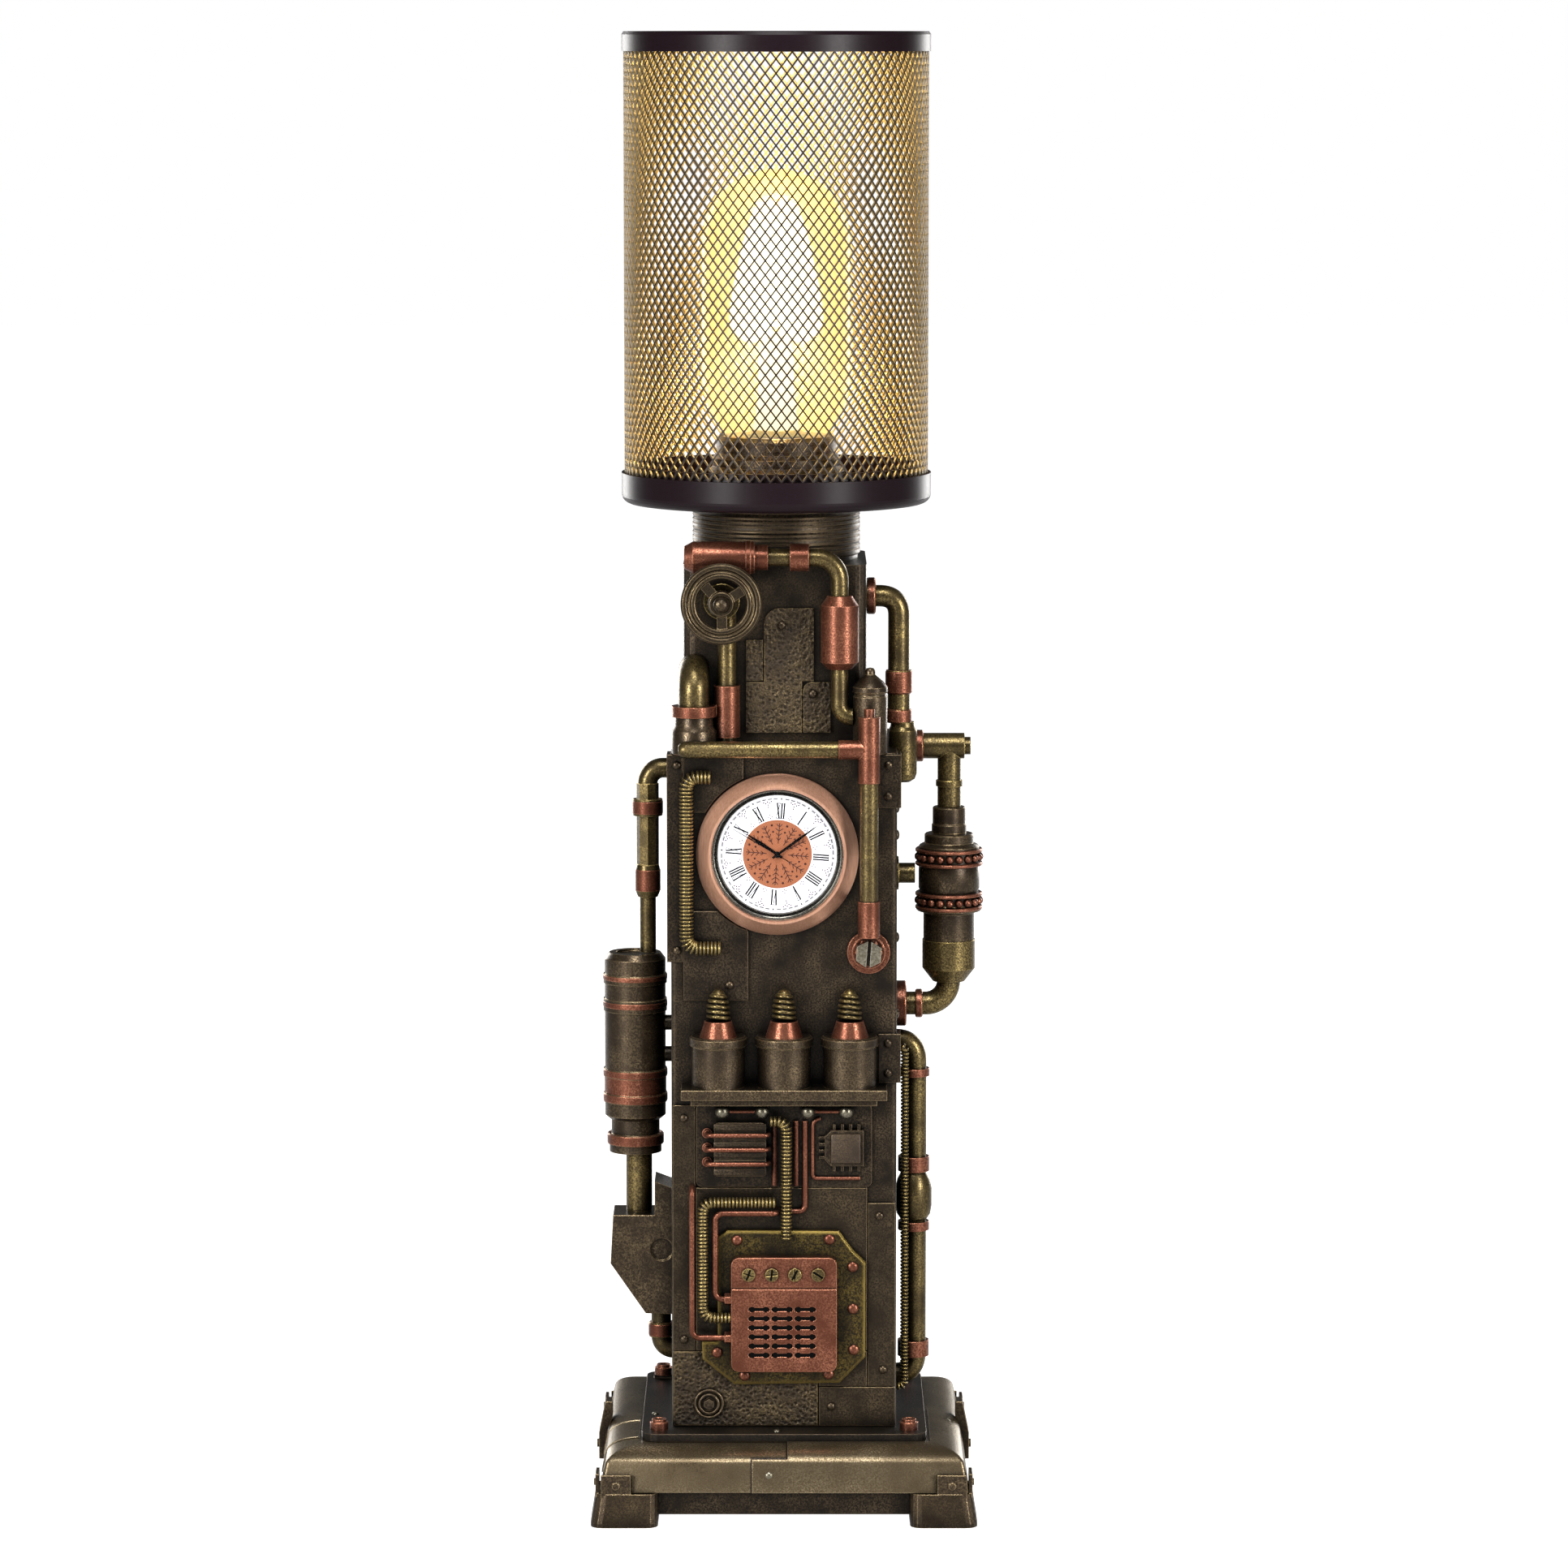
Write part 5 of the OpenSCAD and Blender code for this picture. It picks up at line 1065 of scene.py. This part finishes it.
class DialPlane:
    """Draws thin raised print on the dial, in dial millimetres: u to the right, v up."""

    def __init__(self, form, centre, front, turn):
        self.form = form
        self.centre = centre
        self.front = front
        self.turn = turn

    def at(self, angle, radius, u=0.0, v=0.0):
        """World place of a point given beside a spoke of the dial, in metres."""
        a = math.radians(angle + self.turn)
        x = (radius + v) * math.sin(a) + u * math.cos(a)
        z = (radius + v) * math.cos(a) - u * math.sin(a)
        return point(self.centre.x + x, self.front, self.centre.z + z)

    def stroke(self, angle, radius, start, end, width):
        """Straight line of print between two (u, v) points."""
        a = self.at(angle, radius, *start)
        b = self.at(angle, radius, *end)
        lean = math.atan2((b - a).x, (b - a).z)
        size = (width, 0.04, (b - a).length / MM + width * 0.3)
        block(self.form, (a + b) / 2, size, Matrix.Rotation(lean, 4, "Y"))

    def dot(self, angle, radius, u, v, size):
        """Round dot of print."""
        matrix = Matrix.Translation(self.at(angle, radius, u, v)) @ Matrix.Rotation(math.pi / 2, 4, "X")
        bmesh.ops.create_cone(
            self.form, cap_ends=True, segments=8, radius1=size * MM, radius2=size * MM, depth=0.04 * MM, matrix=matrix
        )


def draw_numeral(plane, angle, text, radius, tall):
    """Roman numeral made of strokes with serifs, its foot towards the centre."""
    total = sum(STROKE_WIDTH[c] for c in text) + LETTER_GAP * (len(text) - 1)
    u = -total / 2
    for letter in text:
        wide = STROKE_WIDTH[letter]
        mid = u + wide / 2
        half = tall / 2
        if letter == "I":
            plane.stroke(angle, radius, (mid, -half), (mid, half), THICK)
        elif letter == "V":
            plane.stroke(angle, radius, (u + 0.15, half), (mid, -half), THICK)
            plane.stroke(angle, radius, (u + wide - 0.12, half), (mid, -half), THIN)
        else:
            plane.stroke(angle, radius, (u + 0.15, half), (u + wide - 0.15, -half), THICK)
            plane.stroke(angle, radius, (u + wide - 0.15, half), (u + 0.15, -half), THIN)
        for v in (-half, half):
            if letter != "V" or v > 0:
                plane.stroke(angle, radius, (u, v), (u + wide, v), THIN)
        u += wide + LETTER_GAP


class LAMP_OT_dial(bpy.types.Operator):
    """Prints the dial: numerals, minute track, ornament and copper centre"""

    bl_idname = "lamp.dial"
    bl_label = "Clock dial"

    def execute(self, context):
        low, high = box_mm("clock_dial")
        centre = (low + high) / 2
        front = high.y - 0.8
        turn = 4.3
        face = {"body": "clock_insert", "axis": TO_THE_FRONT, "steps": 96}
        print_wear = {"body": "clock_insert", "slot": "black_iron"}
        back = point(centre.x, high.y, centre.z)
        card = [(0, 0), (16.95, 0), (16.95, 0.8), (0, 0.8)]
        nodes = ["clock_dial"]
        turned_piece("dial_card", card, back, "printed_dial_card", slot="dial_paper", stands_for=nodes, **face)
        middle_front = point(centre.x, front, centre.z)
        disc = [(0, 0), (8.85, 0), (8.7, 0.16), (0, 0.16)]
        turned_piece("dial_centre", disc, middle_front, "dial_copper_print", slot="brushed_copper", **face)
        form = bmesh.new()
        ink = DialPlane(form, centre, front - 0.04, turn)
        for hour, text in enumerate(NUMERALS):
            draw_numeral(ink, hour * 30, text, 11.2, 3.9)
        for minute in range(60):
            if minute % 5:
                ink.stroke(minute * 6, 14.3, (-0.5, 0), (0.5, 0), 0.2)
            else:
                ink.dot(minute * 6, 14.3, 0, 0, 0.2)
        for minute in range(120):
            for radius in (14.05, 14.55):
                ink.stroke(minute * 3, radius, (-0.38, 0), (0.38, 0), 0.05)
        piece("dial_numerals", form, "dial_ink", **print_wear)
        form = bmesh.new()
        soft = DialPlane(form, centre, front - 0.04, turn)
        for hour in range(12):
            angle = hour * 30 + 15
            for u, v in ((0, 0), (-0.5, 0.45), (0.5, 0.45), (-1.0, 0.75), (1.0, 0.75), (0, -0.6), (0, 0.8)):
                soft.dot(angle, 12.9, u, v, 0.2)
            for u, v in ((0, 0.5), (-0.45, 0), (0.45, 0), (0, -0.35)):
                soft.dot(angle, 9.7, u, v, 0.17)
            for side in (-1, 1):
                soft.stroke(angle, 11.2, (side * 0.5, -0.9), (side * 1.15, 0.9), 0.05)
        piece("dial_ornament", form, "ornament_ink", **print_wear)
        form = bmesh.new()
        leaf = DialPlane(form, centre, front - 0.18, turn)
        for spoke in range(12):
            angle = spoke * 30
            leaf.stroke(angle, 5.4, (0, -2.6), (0, 2.6), 0.2)
            for side in (-1, 1):
                for v, reach in ((-1.4, 0.5), (-0.2, 0.75), (1.0, 0.95), (2.1, 0.7)):
                    leaf.stroke(angle, 5.4, (side * 0.08, v - 0.35), (side * reach, v + 0.25), 0.2)
            leaf.dot(angle + 15, 7.6, 0, 0, 0.32)
            leaf.dot(angle + 15, 5.9, 0, 0, 0.28)
        piece("dial_rosette", form, "centre_print_ink", **print_wear)
        rim = [(15.2, 0), (15.3, 0.7), (15.9, 1.0), (16.3, 1.0), (16.5, 1.6), (16.95, 1.8), (16.95, 0)]
        turned_piece("dial_rim", rim, middle_front, "dull_steel", **face)
        return {"FINISHED"}


class LAMP_OT_hands(bpy.types.Operator):
    """Cuts the three thin black hands"""

    bl_idname = "lamp.hands"
    bl_label = "Clock hands"

    def execute(self, context):
        dial = middle("clock_dial")
        for node, body, angle, reach, tail, width in (
            ("hour_hand", "hour_arm", 304.0, 9.6, 1.5, 0.42), ("minute_hand", "minute_arm", 54.0, 12.6, 1.5, 0.36),
            ("second_hand", "second_arm", 300.5, 13.4, 3.2, 0.13),
        ):
            low, high = box_mm(node)
            hub = Vector((dial.x, (low.y + high.y) / 2, dial.z))
            a = math.radians(angle)
            way = Vector((math.sin(a), 0, math.cos(a)))
            form = bmesh.new()
            rod(form, (hub - way * tail) * MM, (hub + way * reach * 0.55) * MM, width * 0.8, 4, width)
            rod(form, (hub + way * reach * 0.55) * MM, (hub + way * reach) * MM, width, 4, 0.07)
            bmesh.ops.scale(form, verts=form.verts, vec=(1, 0.25, 1), space=Matrix.Translation(-hub * MM))
            rod(form, (hub + Vector((0, 0.14, 0))) * MM, (hub - Vector((0, 0.14, 0))) * MM, 0.75, 24)
            piece(node + "_blade", form, "dial_ink", [node], body, "black_iron")
        return {"FINISHED"}


class LAMP_OT_stage(bpy.types.Operator):
    """Sets the floor, the soft light and the camera"""

    bl_idname = "lamp.stage"
    bl_label = "Stage"

    def execute(self, context):
        scene = context.scene
        sizes = scene.lamp_sizes
        form = bmesh.new()
        bmesh.ops.create_grid(form, x_segments=1, y_segments=1, size=6.0)
        floor = placed("floor", mesh_of("floor", form))
        tree = blank("pale_paper_floor")
        seen = add(tree, "ShaderNodeLightPath").outputs["Is Camera Ray"]
        lift = ("Emission Strength", remap(tree, seen, start=0.12))
        pale = ("Emission Color", (*sizes.floor_color, 1.0))
        cover(tree, principled(tree, (0.5, 0.5, 0.5, 1.0), 0.0, 0.8, pale, lift))
        floor.data.materials.append(MATERIALS["pale_paper_floor"])
        world = bpy.data.worlds.new("studio_air")
        world.use_nodes = True
        air = world.node_tree
        air.nodes.clear()
        seen = add(air, "ShaderNodeLightPath").outputs["Is Camera Ray"]
        links = [("Color", (1.0, 1.0, 1.0, 1.0)), ("Strength", remap(air, seen, start=0.11))]
        backdrop = add(air, "ShaderNodeBackground", links)
        add(air, "ShaderNodeOutputWorld", [("Surface", backdrop.outputs[0])])
        scene.world = world
        warm, white = (1.0, 0.99, 0.97), (1.0, 1.0, 1.0)
        lamps = [
            ("key_left", (-0.95, -1.15, 0.5), 0.38, 22.0, warm),
            ("key_right", (1.05, -1.0, 0.45), 0.36, 17.0, warm),
            ("top", (0.0, -0.95, 1.5), 0.6, 22.0, white),
            ("back_left", (-0.75, 1.25, 0.3), 0.5, 10.0, warm),
            ("back_right", (0.75, 1.25, 0.3), 0.5, 10.0, warm),
        ]
        for name, place, size, watts, color in lamps:
            data = bpy.data.lights.new(name, "AREA")
            data.shape = "RECTANGLE"
            data.size = size
            data.size_y = 1.6 * size
            data.energy = watts
            data.color = color
            lamp = placed(name, data)
            lamp.location = place
            lamp.rotation_euler = (Vector((0, 0, 0.19)) - Vector(place)).to_track_quat("-Z", "Y").to_euler()
        glow_light = bpy.data.lights.new("bulb_light", "POINT")
        glow_light.energy = sizes.bulb_power
        glow_light.color = (1.0, 0.85, 0.52)
        glow_light.shadow_soft_size = 12 * MM
        placed("bulb_light", glow_light).location = middle("bulb_glass") * MM
        camera = bpy.data.cameras.new("camera")
        camera.lens = 138.9
        camera.sensor_width = 36.0
        view = placed("camera", camera)
        view.location = (0.0, -1.562, 0.3844)
        view.rotation_euler = (math.radians(90 - 7.24), 0.0, 0.0)
        scene.camera = view
        scene.view_settings.view_transform = "Standard"
        return {"FINISHED"}


OPERATORS = [
    LAMP_OT_metalwork,
    LAMP_OT_hoses,
    LAMP_OT_coils,
    LAMP_OT_valve,
    LAMP_OT_pipes,
    LAMP_OT_sleeves,
    LAMP_OT_base,
    LAMP_OT_neck,
    LAMP_OT_rivets,
    LAMP_OT_fasteners,
    LAMP_OT_shade,
    LAMP_OT_bulb,
    LAMP_OT_dial,
    LAMP_OT_hands,
    LAMP_OT_stage,
]


class LAMP_PT_panel(bpy.types.Panel):
    """Lists the lamp's pieces in the sidebar"""

    bl_idname = "LAMP_PT_panel"
    bl_label = "Tower clock lamp"
    bl_space_type = "VIEW_3D"
    bl_region_type = "UI"
    bl_category = "Lamp"

    def draw(self, context):
        sizes = context.scene.lamp_sizes
        for name in LampSizes.__annotations__:
            self.layout.prop(sizes, name)
        for operator in OPERATORS:
            self.layout.operator(operator.bl_idname)


CLASSES = [LampSizes, *OPERATORS, LAMP_PT_panel]


def register():
    """Registers the add-on's classes."""
    for entry in CLASSES:
        bpy.utils.register_class(entry)
    bpy.types.Scene.lamp_sizes = PointerProperty(type=LampSizes)


def unregister():
    """Removes the add-on's classes."""
    del bpy.types.Scene.lamp_sizes
    for entry in reversed(CLASSES):
        bpy.utils.unregister_class(entry)


def main():
    register()
    make_materials()
    for operator in OPERATORS:
        group, _, action = operator.bl_idname.partition(".")
        getattr(getattr(bpy.ops, group), action)()


if __name__ == "__main__":
    main()
